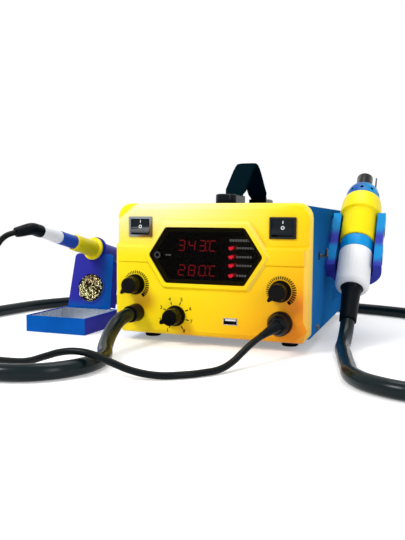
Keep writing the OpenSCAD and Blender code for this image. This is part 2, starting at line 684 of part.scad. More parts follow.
// Gun: drawn along Z from the middle of its ring, then tilted into the holder
gun_at = [cover_hw + 30, 118.5, cover_top - 44.1];
module at_gun() { on_bench() translate(gun_at) rotate([gun_tilt - 90, 0, 0]) children(); }
ring_half = 8;
ring_d = 34.6;
flare_s = barrel_l - ring_half;
head_l = 24.7;
head_s = flare_s + head_l;
collar_l = 21;
collar_s = head_s + collar_l;
pipe_s = collar_s + pipe_l;
grip_s = -ring_half - grip_l;
boot_d = 23;
grip_wall = 2.2;
lip = 6;

module gun_grip() color("ivory") at_gun() rotate_extrude()
    polygon(concat([[boot_d / 2, grip_s]],
        [for (a = [0:15:90]) [grip_d / 2 - 5 + 5 * sin(a), grip_s + 5 - 5 * cos(a)]],
        [[grip_d / 2, -ring_half], [grip_d / 2 - grip_wall, -ring_half],
            [grip_d / 2 - grip_wall, grip_s + lip], [boot_d / 2, grip_s + lip]]));

module gun_ring() color("deepskyblue") at_gun() rotate_extrude()
    polygon(concat([for (a = [-90:30:90]) [ring_d / 2 - 1.5 + 1.5 * cos(a),
            (ring_half - 1.5) * sign(a) + 1.5 * sin(a)]],
        [[heater_seat_d / 2, ring_half], [heater_seat_d / 2, -ring_half]]));

heater_seat_d = 28;
heater_d = 23;
module gun_heater() color([0.85, 0.83, 0.78]) at_gun() difference() {
    union() {
        translate([0, 0, -ring_half + 1]) cylinder(d = heater_seat_d, h = 2 * ring_half - 2);
        translate([0, 0, -ring_half + 1]) cylinder(d = heater_d, h = head_s + ring_half - 6);
    }
    for (a = [0:60:300]) rotate([0, 0, a]) translate([7, 0, -ring_half])
        cylinder(d = 3.6, h = head_s + ring_half);
    translate([0, 0, -ring_half]) cylinder(d = 4, h = head_s + ring_half);
}

// Barrel: a straight tube, a flared head and a shoulder that closes in to the collar
barrel_wall = 2;
module gun_barrel() color("gold") at_gun() rotate_extrude()
    polygon(concat([[barrel_d / 2 - 1, ring_half], [barrel_d / 2, ring_half + 1],
            [barrel_d / 2, flare_s - 3], [barrel_d / 2 + 0.8, flare_s - 0.6], [head_d / 2, flare_s + 1.4]],
        [for (a = [0:15:90]) [head_d / 2 - 3 + 3 * cos(a),
            flare_s + 1.4 + (head_s - flare_s - 1.4) * sin(a)]],
        [[head_d / 2 - 3 - barrel_wall, head_s], [head_d / 2 - 3 - barrel_wall, flare_s + 5],
            [barrel_d / 2 - barrel_wall, flare_s], [barrel_d / 2 - barrel_wall, ring_half]]));

// Vent collar: a dome with round openings, which carries the nozzle pipe
collar_d = 38;
collar_top_d = 22;
neck_d = pipe_d + 1.2;
module vent_collar() color("royalblue") at_gun() difference() {
    rotate_extrude() polygon(concat(
        [[collar_d / 2, head_s]],
        [for (a = [0:15:90]) [collar_top_d / 2 - 1 + (collar_d - collar_top_d + 2) / 2 * cos(a),
            head_s + 2 + (collar_l - 2) * sin(a)]],
        [[neck_d / 2, collar_s], [neck_d / 2, collar_s - 3]],
        [for (a = [75:-15:0]) [collar_top_d / 2 - 1 + (collar_d - collar_top_d - 2) / 2 * cos(a),
            head_s + 2 + (collar_l - 5) * sin(a)]],
        [[collar_d / 2 - 2, head_s]]));
    for (a = [0:36:359]) rotate([0, 0, a]) translate([0, -collar_top_d / 2, head_s + 7])
        rotate([90, 0, 0]) cylinder(d = 4.2, h = collar_d / 2);
    rotate([0, 0, pin_turn]) translate([pin_r, 0, head_s]) cylinder(d = pin_d, h = collar_l + 2);
}

pipe_wall = 1;
module nozzle_pipe() color("silver") at_gun() translate([0, 0, head_s - 4]) difference() {
    union() {
        cylinder(d = neck_d, h = collar_l + 4);
        translate([0, 0, collar_l + 4 - tiny]) cylinder(d = pipe_d, h = pipe_l + tiny);
        cylinder(d = heater_d, h = 3);
        translate([0, 0, -14]) difference() {
            cylinder(d = heater_d + 2, h = 17);
            translate([0, 0, -1]) cylinder(d = heater_d, h = 16);
        }
    }
    translate([0, 0, -1]) cylinder(d = pipe_d - 2 * pipe_wall, h = pipe_s);
}

pin_r = 13;
pin_d = 1.8;
pin_turn = 0;
module collar_pin() color([0.1, 0.1, 0.1]) at_gun() rotate([0, 0, pin_turn])
    translate([pin_r, 0, collar_s - 5]) cylinder(d = pin_d, h = pipe_l + 5);

// Boot: flared where it leaves the grip, with a flange inside the grip's lip
boot_l = 40;
boot_bore = hose_d + 0.4;
module gun_boot() color([0.08, 0.08, 0.08]) at_gun() translate([0, 0, grip_s]) rotate_extrude()
    polygon([[boot_bore / 2, -boot_l], [boot_bore / 2 + 1.2, -boot_l], [boot_bore / 2 + 1.7, -20],
        [boot_bore / 2 + 2.2, -8], [boot_bore / 2 + 3, -3], [boot_d / 2, 0], [boot_d / 2, lip],
        [boot_d / 2 + 2.5, lip], [boot_d / 2 + 2.5, lip + 3], [boot_bore / 2 - 2, lip + 3],
        [boot_bore / 2 - 2, -4], [boot_bore / 2, -4]]);

// Holder: a moulded channel round the barrel, open to the front and above
holder_in = barrel_d / 2 + holder_gap;
holder_out = holder_in + holder_wall;
holder_s0 = -30;
holder_s1 = flare_s - 0.6;
holder_arm = 9;
rib = 0.8;
module channel(s0, s1, out, arm) {
    translate([0, 0, s0]) linear_extrude(s1 - s0) difference() {
        union() {
            circle(r = out);
            translate([-out, -arm]) square([2 * out, arm]);
        }
        circle(r = holder_in);
        translate([-holder_in, -2 * out]) square([2 * holder_in, 2 * out]);
        translate([-2 * out, -arm - 2 * out]) square([4 * out, 2 * out]);
    }
}

module gun_holder() color("royalblue") difference() {
    union() {
        at_gun() {
            channel(holder_s0, holder_s1, holder_out - rib, holder_arm);
            channel(holder_s1 - 22, holder_s1, holder_out, holder_arm);
            channel(-18, -1, holder_out, holder_arm);
            channel(holder_s0, holder_s0 + 4, holder_out, holder_arm);
        }
        // Pad against the side of the case
        intersection() {
            at_gun() translate([-holder_out - 4, -6, holder_s0]) cube([9, 18, holder_s1 - holder_s0]);
            on_bench() translate([cover_hw, 0, 0]) cube([30, 300, cover_top - cover_r - 2]);
        }
    }
    on_bench() translate([cover_hw - 30, 0, 0]) cube([30, 300, 200]);
    at_gun() translate([0, 0, holder_s0 - 1]) cylinder(r = holder_in, h = 100);
    for (p = holder_bolts) on_bench() translate([cover_hw - 1, p[0], p[1]])
        rotate([0, 90, 0]) cylinder(d = 3.1, h = 5);
}

holder_bolts = [for (s = [-20, 18]) [gun_at[1] + s * cos(gun_tilt), gun_at[2] + s * sin(gun_tilt)]];
module holder_screws() color("dimgray") on_bench() for (p = holder_bolts)
    translate([cover_hw + 3.8, p[0], p[1]]) rotate([0, -90, 0]) pan_screw(3, 3.8 + sheet_t);

hook_at = [59, 80];
module cord_hook() color("silver") on_bench() translate([cover_hw, hook_at[0], hook_at[1]]) {
    translate([0, -5, -3.5]) cube([1.2, 10, 7]);
    rotate([0, 90, 0]) cylinder(d = 3, h = 9);
    translate([7.5, 0, 0]) cylinder(d = 3, h = 6);
    translate([7.5, 0, 6]) sphere(d = 3);
    translate([7.5, 0, 0]) sphere(d = 3);
}

// Stand: a folded tray with a lift-out metal insert, and an upright plate behind it
tray_x = -177;
tray_y = 8;
tray_back = tray_y + tray_d;
insert_t = 0.8;
plate_x = -180.5;
module stand_base() color("mediumblue") translate([tray_x - tray_w / 2, tray_y, 0]) difference() {
    cube([tray_w, tray_d, tray_h]);
    translate([stand_t, stand_t, stand_t])
        cube([tray_w - 2 * stand_t, tray_d - 2 * stand_t, tray_h]);
}

module solder_tray() color("silver") translate([tray_x, tray_y + tray_d / 2, stand_t])
    difference() {
        w = tray_w - 2 * stand_t - 2 * fit;
        d = tray_d - 2 * stand_t - 2 * fit;
        h = tray_h - stand_t - 1;
        translate([0, 0, h / 2]) cube([w, d, h], center = true);
        translate([0, 0, h / 2 + insert_t]) cube([w - 2 * insert_t, d - 2 * insert_t, h], center = true);
    }

module at_plate() { translate([plate_x, tray_back, tray_h]) rotate([90 - lean, 0, 0]) children(); }
head_v = plate_h + 5.5;
head_r = 15;
flange_back = 14;
wool_v = 24;
iron_yaw = 6;
iron_z = tray_h + head_v * cos(lean);
iron_y = tray_back + head_v * sin(lean);
module at_iron() { translate([plate_x, iron_y, iron_z]) rotate([90 - lean, 0, -iron_yaw]) children(); }

// The plate's outline, from just above the fold at its foot
fold = 0.5;
function plate_outline(inset) =
    let (f = plate_w / 2 - inset, s = plate_top_w / 2 - inset, top = plate_h - inset)
    concat([[-f, fold], [f, fold]], arc_corner([f, fold], [s, top], [0, top], 5 - inset / 2, 5),
        arc_corner([f, top], [-s, top], [-f, fold], 5 - inset / 2, 5));

module stand_plate() color("mediumblue") difference() {
    union() {
        at_plate() translate([0, 0, -stand_t]) linear_extrude(stand_t) {
            polygon(plate_outline(0));
            translate([0, head_v]) circle(r = head_r);
        }
        // Rolled rim round the wire wool
        at_plate() translate([0, wool_v, -stand_t]) cylinder(d = wool_d + 4, h = stand_t + 0.8);
        // Sides folded back
        at_plate() intersection() {
            difference() {
                translate([0, 0, -flange_back]) linear_extrude(flange_back) polygon(plate_outline(0));
                translate([0, 0, -flange_back - 1]) linear_extrude(flange_back + 2)
                    polygon(plate_outline(stand_t));
            }
            translate([-plate_w, 3 * fold, -flange_back - 1])
                cube([2 * plate_w, plate_h - 10, flange_back + 0.5]);
        }
        // Foot against the back of the tray
        translate([plate_x - plate_w / 2, tray_back, 1]) cube([plate_w, stand_t, tray_h + 0.5]);
    }
    at_plate() translate([0, wool_v, -10]) cylinder(d = wool_d, h = 20);
    at_iron() translate([0, 0, -20]) cylinder(d = sleeve_d, h = 40);
}

cup_l = 24;
module wool_cup() color("silver") at_plate() translate([0, wool_v, -stand_t - cup_l]) difference() {
    cylinder(d = wool_d + 2.4, h = cup_l);
    translate([0, 0, 1]) cylinder(d = wool_d, h = cup_l);
}

module wire_wool() color("goldenrod") at_plate() translate([0, wool_v, -stand_t - cup_l + 1])
    rotate_extrude() polygon(concat([[0, 0], [wool_d / 2 - fit, 0]],
        [for (a = [0:10:90]) [(wool_d / 2 - fit) * cos(a) + 0.35 * sin(9 * a),
            cup_l + stand_t - 1 + 7 * sin(a) + 0.4 * sin(11 * a)]]));

sleeve_d = 21;
sleeve_bore = 17.5;
sleeve_l = 52;
ring_s = 2.6;
module iron_sleeve() color("royalblue") difference() {
    union() {
        at_iron() translate([0, 0, -sleeve_l]) cylinder(d = sleeve_d, h = sleeve_l + ring_s);
        intersection() {
            at_iron() translate([0, 0, -5]) cylinder(d = flange_d, h = ring_s + 5);
            at_plate() translate([-40, 0, 0]) cube([80, 100, 20]);
        }
    }
    at_iron() translate([0, 0, -sleeve_l - 1]) cylinder(d = sleeve_bore, h = sleeve_l + ring_s + 2);
}

// Iron: its handle stands out of the sleeve, its barrel and tip are inside
iron_grip_l = 41;
iron_band_l = 26;
iron_body_l = handle_l - iron_grip_l - iron_band_l;
module iron_grip() color("gold") at_iron() translate([0, 0, ring_s]) rotate_extrude()
    polygon([[4.5, 0], [flange_d / 2 - 0.6, 0], [flange_d / 2, 0.6], [flange_d / 2, 2.2],
        [flange_d / 2 - 1, 3], [10.6, 3.6], [10.2, 6], [9.7, 14], [9.4, 24], [9.6, 34], [9.4, 39],
        [8.6, iron_grip_l], [4.5, iron_grip_l]]);

module iron_band() color("royalblue") at_iron() translate([0, 0, ring_s + iron_grip_l])
    rotate_extrude() polygon([[4.5, 0], [8.2, 0], [7.7, 2], [7.5, iron_band_l - 1],
        [7.1, iron_band_l], [4.5, iron_band_l]]);

module iron_body() color("ivory") at_iron()
    translate([0, 0, ring_s + iron_grip_l + iron_band_l]) rotate_extrude()
    polygon([[3.6, 0], [6.9, 0], [7.2, 1], [6.8, iron_body_l * 0.4], [6.1, iron_body_l - 1.5],
        [5.4, iron_body_l], [3.6, iron_body_l]]);

// Boot: straight, then bent down and to the left by the weight of its cord
boot_route = [[0, 0, 0], [0, 0, 4], [0, 0, 8], [0, 0, 12], [-0.5, -0.8, 16], [-1.6, -2.4, 20],
    [-3, -4.4, 24], [-4.3, -6.3, 28], [-5.5, -8, 32]];
boot_girth = [13.4, 13, 12.2, 11.6, 11.2, 10.6, 9.6, 8.6, 7.4];
module iron_boot() color([0.08, 0.08, 0.09]) at_iron() translate([0, 0, ring_s + handle_l]) {
    tube(boot_route, boot_girth, 24);
    translate([0, 0, -18]) cylinder(d = 7.2, h = 20);
}

module iron_barrel() color([0.75, 0.75, 0.77]) at_iron() rotate_extrude()
    polygon([[0, -34], [4.2, -34], [4.2, -30], [6.4, -28], [6.4, -4], [7.8, -2], [7.8, ring_s],
        [4.5, ring_s], [4.5, ring_s + 30], [0, ring_s + 30]]);

module iron_tip() color([0.5, 0.42, 0.36]) at_iron() rotate_extrude()
    polygon([[0, -48], [0.6, -48], [2.6, -40], [2.6, -34], [0, -34]]);

// Cords: tubes swept along routes chosen by hand, on the bench's level
hose_z = hose_d / 2;
cord_d = 6;
hose_sides = 12;
cord_sides = 8;
hose_route = [[-75, -12, 30], [-75.3, -24, 29.4], [-76, -37, 26.4], [-75, -51, 20.4],
    [-71.5, -66, 14.4], [-65.5, -82, 10], [-56.5, -100, 7.3], [-52.2, -122, 7],
    [-57.7, -146.5, 7], [-73, -166.6, 7], [-91, -177, 7], [-111, -180.4, 7], [-251, -180.4, 7],
    [-280.5, -172.5, 7], [-302.1, -150.9, 7], [-310, -121.4, 7], [-311, -20, 7], [-307, 90, 7],
    [-287, 174, 7], [-230, 243, 7], [-145, 284, 7], [0, 298, 7], [143, 281, 7], [218, 234, 7],
    [255, 155, 7], [262, 60, 7], [261, -63, 7], [253, -92.5, 7], [231.5, -114, 7],
    [202, -122, 7], [172.5, -114, 7], [151, -92.5, 7], [143, -63, 7], [134.5, -18, 7],
    [129, 12.2, 7], [128.6, 27.5, 9.1], [128.5, 41.7, 15.2], [128.5, 54, 25.2],
    [128.5, 66, 38.1], [128.5, 78, 51]];
cord_route = [[65.5, -41.4, 22.2], [61, -55, 18], [56.5, -68, 12.5], [52, -81, 7],
    [46, -95, 3.6], [37, -108, 3], [24, -121, 3], [7, -131, 3.4], [-12, -136, 6.5],
    [-29, -138, 12], [-44, -139, 17], [-58, -140, 18.8], [-73, -140, 17], [-89, -139, 12],
    [-106, -137, 6.5], [-124, -134, 3.3], [-180, -126, 3], [-208, -123, 3], [-235, -122.3, 3]];
riser_route = [[-258.3, -56.7, 15.3], [-246, -49, 17.5], [-233, -47, 23], [-222, -48, 33],
    [-214, -50, 46], [-209.5, -52, 60], [-208.5, -53, 75], [-207.6, -51.5, 89], [-206, -46, 99.2],
    [-203.4, -38.2, 106], [-200, -28.6, 109.4]];

// Directions along a route, and across it without twist
function along(p, i) = let (a = p[max(i - 1, 0)], b = p[min(i + 1, len(p) - 1)]) (b - a) / norm(b - a);
function across(p, i, v) = i == len(p) ? [] :
    let (t = along(p, i), w = v - (v * t) * t, u = w / norm(w)) concat([u], across(p, i + 1, u));
module tube(route, d, sides) {
    side = across(route, 0, route[1][2] == route[0][2] ? [0, 0, 1] : [1, 0, 0]);
    rings = [for (i = [0:len(route) - 1]) let (u = side[i], w = cross(along(route, i), u))
        each [for (k = [0:sides - 1]) let (a = 360 * k / sides, r = (is_list(d) ? d[i] : d) / 2)
            route[i] + r * (cos(a) * u + sin(a) * w)]];
    last = (len(route) - 1) * sides;
    polyhedron(points = rings, faces = concat([[for (k = [0:sides - 1]) k]],
        [for (i = [0:len(route) - 2], k = [0:sides - 1])
            let (a = i * sides + k, b = i * sides + (k + 1) % sides)
            each [[b, a, a + sides], [b, a + sides, b + sides]]],
        [[for (k = [sides - 1:-1:0]) last + k]]));
}

module air_hose() color([0.07, 0.07, 0.08]) tube(hose_route, hose_d - 0.1, hose_sides);
module iron_cord() color([0.09, 0.09, 0.1]) {
    tube(cord_route, cord_d, cord_sides);
    tube(riser_route, cord_d, cord_sides);
}

coil_at = [-235, -80];
coil_r = 33;
coil_h = 12;
module iron_cord_coil() color([0.09, 0.09, 0.1]) translate([coil_at[0], coil_at[1], 0])
    rotate_extrude() translate([coil_r, 0]) polygon(rounded([[-coil_h / 2, 0], [coil_h / 2, 0],
        [coil_h / 2, coil_h], [-coil_h / 2, coil_h]], 3, 3));

front_panel();
case_cover();
base_chassis();
rear_panel();
rubber_feet();
cover_screws();
display_window();
calibration_jack();
display_modules();
pilot_lamps();
display_board();
for (side = [-1, 1]) switch_bezel(side);  // switch_bezels
rocker(-1);  // left_rocker
rocker(1);  // right_rocker
knob(knob_places[0], knob_turn[0]);  // hot_air_knob
knob(knob_places[2], knob_turn[2]);  // airflow_knob
knob(knob_places[1], knob_turn[1]);  // soldering_knob
for (p = knob_places) pot(p);  // potentiometers
pot_shaft(knob_places[0]);  // hot_air_shaft
pot_shaft(knob_places[2]);  // airflow_shaft
pot_shaft(knob_places[1]);  // soldering_shaft
usb_socket();
hose_gland();
iron_socket();
iron_plug();
transformer();
air_pump();
pump_armature();
control_board();
mains_inlet();
handle_strap();
handle_cap(-1);  // front_handle_cap
handle_cap(1);  // rear_handle_cap
handle_screws();
gun_holder();
holder_screws();
cord_hook();
gun_grip();
gun_ring();
gun_barrel();
vent_collar();
nozzle_pipe();
gun_heater();
collar_pin();
gun_boot();
air_hose();
stand_base();
stand_plate();
solder_tray();
wool_cup();
wire_wool();
iron_sleeve();
iron_grip();
iron_body();
iron_band();
iron_boot();
iron_barrel();
iron_tip();
iron_cord();
iron_cord_coil();
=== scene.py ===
"""Looks of the hot air rework station: finishes, display, print, hose, cord, strap and wire wool."""

import json
import math
import random

import bpy
from mathutils import Matrix, Vector


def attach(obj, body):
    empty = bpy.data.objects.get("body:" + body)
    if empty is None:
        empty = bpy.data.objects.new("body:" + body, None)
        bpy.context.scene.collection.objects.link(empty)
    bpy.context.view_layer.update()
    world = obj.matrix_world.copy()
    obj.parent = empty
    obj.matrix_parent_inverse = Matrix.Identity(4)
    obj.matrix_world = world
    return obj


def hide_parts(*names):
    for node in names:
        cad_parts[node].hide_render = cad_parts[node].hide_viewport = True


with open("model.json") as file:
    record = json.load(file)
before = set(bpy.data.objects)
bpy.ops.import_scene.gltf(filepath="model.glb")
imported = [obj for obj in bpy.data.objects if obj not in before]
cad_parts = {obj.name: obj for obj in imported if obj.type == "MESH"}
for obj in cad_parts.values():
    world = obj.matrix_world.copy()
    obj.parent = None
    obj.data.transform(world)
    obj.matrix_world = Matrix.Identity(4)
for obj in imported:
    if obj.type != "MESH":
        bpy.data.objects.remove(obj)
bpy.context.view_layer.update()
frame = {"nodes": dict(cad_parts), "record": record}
nodes = frame["nodes"]

MM = 0.001
PANEL_FOOT = 9 * MM  # height of the front panel's bottom edge above the bench
RNG = random.Random(4)


def pt(x, y, z):
    """A point given in millimetres."""
    return Vector((x, y, z)) * MM


def on_panel(x, y, z):
    """A point in millimetres whose height is counted from the panel's bottom edge."""
    return Vector((x, y, z)) * MM + Vector((0, 0, PANEL_FOOT))


# Camera, fitted to the corners of the front panel in the photograph
PHOTO_H = 540
FOCAL_PX = 612.3
SENSOR_W = 36
CLIP = (0.01, 50)  # nearest and farthest places that the camera sees, in metres
CAMERA_AT = pt(198.2, -555.5, 121.3)
YAW, PITCH, ROLL = math.radians(20.01), math.radians(4.446), math.radians(0.445)


def make_camera():
    data = bpy.data.cameras.new("camera")
    data.sensor_width = SENSOR_W
    data.lens = FOCAL_PX * data.sensor_width / PHOTO_H
    data.clip_start, data.clip_end = CLIP
    cam = bpy.data.objects.new("camera", data)
    forward = Vector((-math.sin(YAW) * math.cos(PITCH),
                      math.cos(YAW) * math.cos(PITCH),
                      -math.sin(PITCH)))
    side = Vector((math.cos(YAW), math.sin(YAW), 0))
    up = side.cross(forward)
    right = math.cos(ROLL) * side + math.sin(ROLL) * up
    top = -math.sin(ROLL) * side + math.cos(ROLL) * up
    turn = Matrix((right, top, -forward)).transposed().to_4x4()
    cam.matrix_world = Matrix.Translation(CAMERA_AT) @ turn
    bpy.context.scene.collection.objects.link(cam)
    bpy.context.scene.camera = cam


make_camera()


# Materials
MOTTLE_SCALE = 38  # broad patches per metre
MOTTLE_RAMP = (0.3, 0.7)  # noise values where the darkest and the palest colour are reached
ROUGH_SPREAD = 0.06  # how far the roughness drifts either way
GRAIN_DEPTH, GRAINS_PER_CELL = 0.1 * MM, 3
COAT_ROUGH = 0.12
GLOW_BODY, GLOW_ROUGH = 0.4, 0.5  # how much of its colour a lit face shows unlit, and its roughness


def new_material(name):
    m = bpy.data.materials.new(name)
    m.use_nodes = True
    return m, m.node_tree, m.node_tree.nodes["Principled BSDF"]


def noise(tree, scale, detail=3.0, stretch=None):
    coord = tree.nodes.new("ShaderNodeTexCoord")
    tex = tree.nodes.new("ShaderNodeTexNoise")
    tex.inputs["Scale"].default_value = scale
    tex.inputs["Detail"].default_value = detail
    if stretch:
        mapping = tree.nodes.new("ShaderNodeMapping")
        mapping.inputs["Scale"].default_value = stretch
        tree.links.new(coord.outputs["Object"], mapping.inputs["Vector"])
        tree.links.new(mapping.outputs["Vector"], tex.inputs["Vector"])
    else:
        tree.links.new(coord.outputs["Object"], tex.inputs["Vector"])
    return tex


def surface(name, color, rough=0.4, metal=0.0, coat=0.0, grain=0.0, grain_size=0.6, mottle=0.08,
            stretch=None, specular=0.5):
    """A finish whose colour, roughness and grain vary a little; grain_size is in millimetres."""
    m, tree, bsdf = new_material(name)
    links = tree.links
    broad = noise(tree, MOTTLE_SCALE, 3, stretch)
    ramp = tree.nodes.new("ShaderNodeValToRGB")
    dark, pale = ramp.color_ramp.elements
    dark.position, pale.position = MOTTLE_RAMP
    dark.color = [c * (1 - mottle) for c in color] + [1]
    pale.color = [min(1, c * (1 + mottle)) for c in color] + [1]
    links.new(broad.outputs["Fac"], ramp.inputs["Fac"])
    links.new(ramp.outputs["Color"], bsdf.inputs["Base Color"])
    spread = tree.nodes.new("ShaderNodeMapRange")
    spread.inputs["To Min"].default_value = rough - ROUGH_SPREAD
    spread.inputs["To Max"].default_value = rough + ROUGH_SPREAD
    links.new(broad.outputs["Fac"], spread.inputs["Value"])
    links.new(spread.outputs["Result"], bsdf.inputs["Roughness"])
    if grain:
        fine = noise(tree, 1000 / grain_size / GRAINS_PER_CELL, 2, stretch)
        bump = tree.nodes.new("ShaderNodeBump")
        bump.inputs["Strength"].default_value = grain
        bump.inputs["Distance"].default_value = GRAIN_DEPTH
        links.new(fine.outputs["Fac"], bump.inputs["Height"])
        links.new(bump.outputs["Normal"], bsdf.inputs["Normal"])
    bsdf.inputs["Metallic"].default_value = metal
    bsdf.inputs["Coat Weight"].default_value = coat
    bsdf.inputs["Coat Roughness"].default_value = COAT_ROUGH
    bsdf.inputs["Specular IOR Level"].default_value = specular
    return m


def glow(name, color, strength):
    """A lit face; the lens in front of it passes little of its light, so strengths are high."""
    m, _, bsdf = new_material(name)
    bsdf.inputs["Base Color"].default_value = (*[c * GLOW_BODY for c in color], 1)
    bsdf.inputs["Emission Color"].default_value = (*color, 1)
    bsdf.inputs["Emission Strength"].default_value = strength
    bsdf.inputs["Roughness"].default_value = GLOW_ROUGH
    return m


def math_node(tree, operation, a, b=0.0):
    """The result of a Math node; a and b are numbers or sockets."""
    node = tree.nodes.new("ShaderNodeMath")
    node.operation = operation
    for socket, value in zip(node.inputs, (a, b)):
        if isinstance(value, bpy.types.NodeSocket):
            tree.links.new(value, socket)
        else:
            socket.default_value = value
    return node.outputs["Value"]


def fade(tree, value, low, high):
    """Rises smoothly from 0 to 1 while value goes from low to high."""
    node = tree.nodes.new("ShaderNodeMapRange")
    node.interpolation_type = "SMOOTHSTEP"
    node.inputs["From Min"].default_value = low
    node.inputs["From Max"].default_value = high
    tree.links.new(value, node.inputs["Value"])
    return node.outputs["Result"]


def blend_color(tree, factor, a, b):
    """A colour between a and b; each is a colour or a socket."""
    node = tree.nodes.new("ShaderNodeMix")
    node.data_type = "RGBA"
    tree.links.new(factor, node.inputs[0])
    for socket, value in zip([x for x in node.inputs if x.type == "RGBA"], (a, b)):
        if isinstance(value, bpy.types.NodeSocket):
            tree.links.new(value, socket)
        else:
            socket.default_value = (*value, 1)
    return [x for x in node.outputs if x.type == "RGBA"][0]


def place_xyz(tree):
    """Sockets for x, y and z in the shared frame, in metres."""
    coord = tree.nodes.new("ShaderNodeTexCoord")
    split = tree.nodes.new("ShaderNodeSeparateXYZ")
    tree.links.new(coord.outputs["Object"], split.inputs["Vector"])
    return split.outputs["X"], split.outputs["Y"], split.outputs["Z"]


def facing(tree, axis):
    """How far a face looks along an axis of the shared frame, from -1 to 1."""
    geometry = tree.nodes.new("ShaderNodeNewGeometry")
    split = tree.nodes.new("ShaderNodeSeparateXYZ")
    tree.links.new(geometry.outputs["True Normal"], split.inputs["Vector"])
    return split.outputs[axis]


def base_color(m):
    """The socket that sets a material's colour."""
    return m.node_tree.nodes["Principled BSDF"].inputs["Base Color"]


def plain_color(m):
    """The socket that a material's mottled colour comes from."""
    return base_color(m).links[0].from_socket


# Painted colours, some of them painted light and shade. A pair of numbers is where a shade starts
# and where it is full, in metres of the shared frame, or as a share of how far a face looks to the right.
# Fascia colours: orange is painted shade, deep orange is painted shadow, pale is a painted highlight, and
# the edge colour is painted light
FASCIA_YELLOW, FASCIA_SHADE_ORANGE = (0.98, 0.74, 0.002), (0.88, 0.25, 0.0)
FASCIA_SHADOW_DEEP, FASCIA_HIGHLIGHT, FASCIA_EDGE_LIGHT = (0.74, 0.14, 0.01), (0.85, 0.83, 0.47), (0.98, 0.78, 0.16)
SHADE_RUN = (-0.11, 0.13)  # along x less z
# Painted shadows, deep orange, under the knobs and at the lower right: x, z and reach, and how much;
# a patch is full inside SHADOW_CORE of its reach
SHADOW_PATCHES = [(-0.067, 0.042, 0.02, 0.45), (0.088, 0.046, 0.02, 0.6), (0.085, 0.022, 0.022, 0.45),
                (-0.022, 0.014, 0.014, 0.3)]
SHADOW_CORE = 0.15
# Painted highlight, pale, at the upper left of the fascia
HIGHLIGHT_UP, HIGHLIGHT_RIGHT = (0.085, 0.15), (-0.07, 0.09)  # pale comes in upwards and goes to the right
CORNER_SLOPE, CORNER_CUT = 0.75, (0.1965, 0.1985)  # and stops at the upper left corner's slant
# Painted light on faces turned to the right: how far they turn, and how much
EDGE_LIGHT_FACING, EDGE_LIGHT_AMOUNT = (0.25, 0.6), 0.6


def distance(tree, a, b, a0, b0):
    """How far a place is from a0, b0 along two axes."""
    parts = [math_node(tree, "POWER", math_node(tree, "SUBTRACT", socket, middle), 2.0)
             for socket, middle in ((a, a0), (b, b0))]
    return math_node(tree, "SQRT", math_node(tree, "ADD", *parts))


def flip(tree, value):
    """Turns 0 to 1 into 1 to 0."""
    return math_node(tree, "SUBTRACT", 1.0, value)


def fascia_finish():
    """Moulded yellow with painted light and shade: a pale painted highlight at the upper left, painted shade
    that warms it to orange at the lower right, deep orange painted shadows under the knobs, and painted
    light on faces turned to the right.
    """
    m = surface("fascia_yellow", FASCIA_YELLOW, rough=0.36, grain=0.1, grain_size=0.5, mottle=0.02,
                specular=0.2)
    tree = m.node_tree
    x, _, z = place_xyz(tree)
    # Painted shade: orange that comes in towards the lower right
    shade_to_lower_right = fade(tree, math_node(tree, "SUBTRACT", x, z), *SHADE_RUN)
    color = blend_color(tree, shade_to_lower_right, plain_color(m), FASCIA_SHADE_ORANGE)
    # Painted shadows, deep orange, round each patch
    for px, pz, reach, amount in SHADOW_PATCHES:
        near = flip(tree, fade(tree, distance(tree, x, z, px, pz), reach * SHADOW_CORE, reach))
        color = blend_color(tree, math_node(tree, "MULTIPLY", near, amount), color, FASCIA_SHADOW_DEEP)
    # Painted highlight: pale at the upper left, short of the corner's slant
    pale = math_node(tree, "MULTIPLY", fade(tree, z, *HIGHLIGHT_UP), flip(tree, fade(tree, x, *HIGHLIGHT_RIGHT)))
    corner = math_node(tree, "SUBTRACT", z, math_node(tree, "MULTIPLY", x, CORNER_SLOPE))
    off_corner = flip(tree, fade(tree, corner, *CORNER_CUT))
    color = blend_color(tree, math_node(tree, "MULTIPLY", pale, off_corner), color, FASCIA_HIGHLIGHT)
    # Painted light: faces turned to the right are lighter
    edge = math_node(tree, "MULTIPLY", fade(tree, facing(tree, "X"), *EDGE_LIGHT_FACING), EDGE_LIGHT_AMOUNT)
    tree.links.new(blend_color(tree, edge, color, FASCIA_EDGE_LIGHT), base_color(m))
    return m


# Violet on the plate, and painted shade, violet, on faces turned to the right
STAND_BLUE, STAND_VIOLET = (0.002, 0.095, 0.42), (0.03, 0.03, 0.36)
PLATE_UP, PLATE_RIGHT, STAND_SHADE_FACING = (0.016, 0.03), (-0.178, -0.155), (0.4, 0.8)


def stand_finish():
    """Blue paint that leans to violet on the plate, with painted shade, violet, on faces turned to the
    right.
    """
    m = surface("stand_blue", STAND_BLUE, rough=0.32, grain=0.1, specular=0.04)
    tree = m.node_tree
    x, _, z = place_xyz(tree)
    plate = math_node(tree, "MULTIPLY", fade(tree, z, *PLATE_UP),
                      flip(tree, fade(tree, x, *PLATE_RIGHT)))
    violet = math_node(tree, "MAXIMUM", plate, fade(tree, facing(tree, "X"), *STAND_SHADE_FACING))
    tree.links.new(blend_color(tree, violet, plain_color(m), STAND_VIOLET), base_color(m))
    return m


CASE_BLUE, CASE_DARK = (0.018, 0.175, 0.5), (0.006, 0.082, 0.25)
CASE_BACK, CASE_RISE = 0.35, (0.03, 0.17)  # a metre back darkens as much as CASE_BACK of a metre up


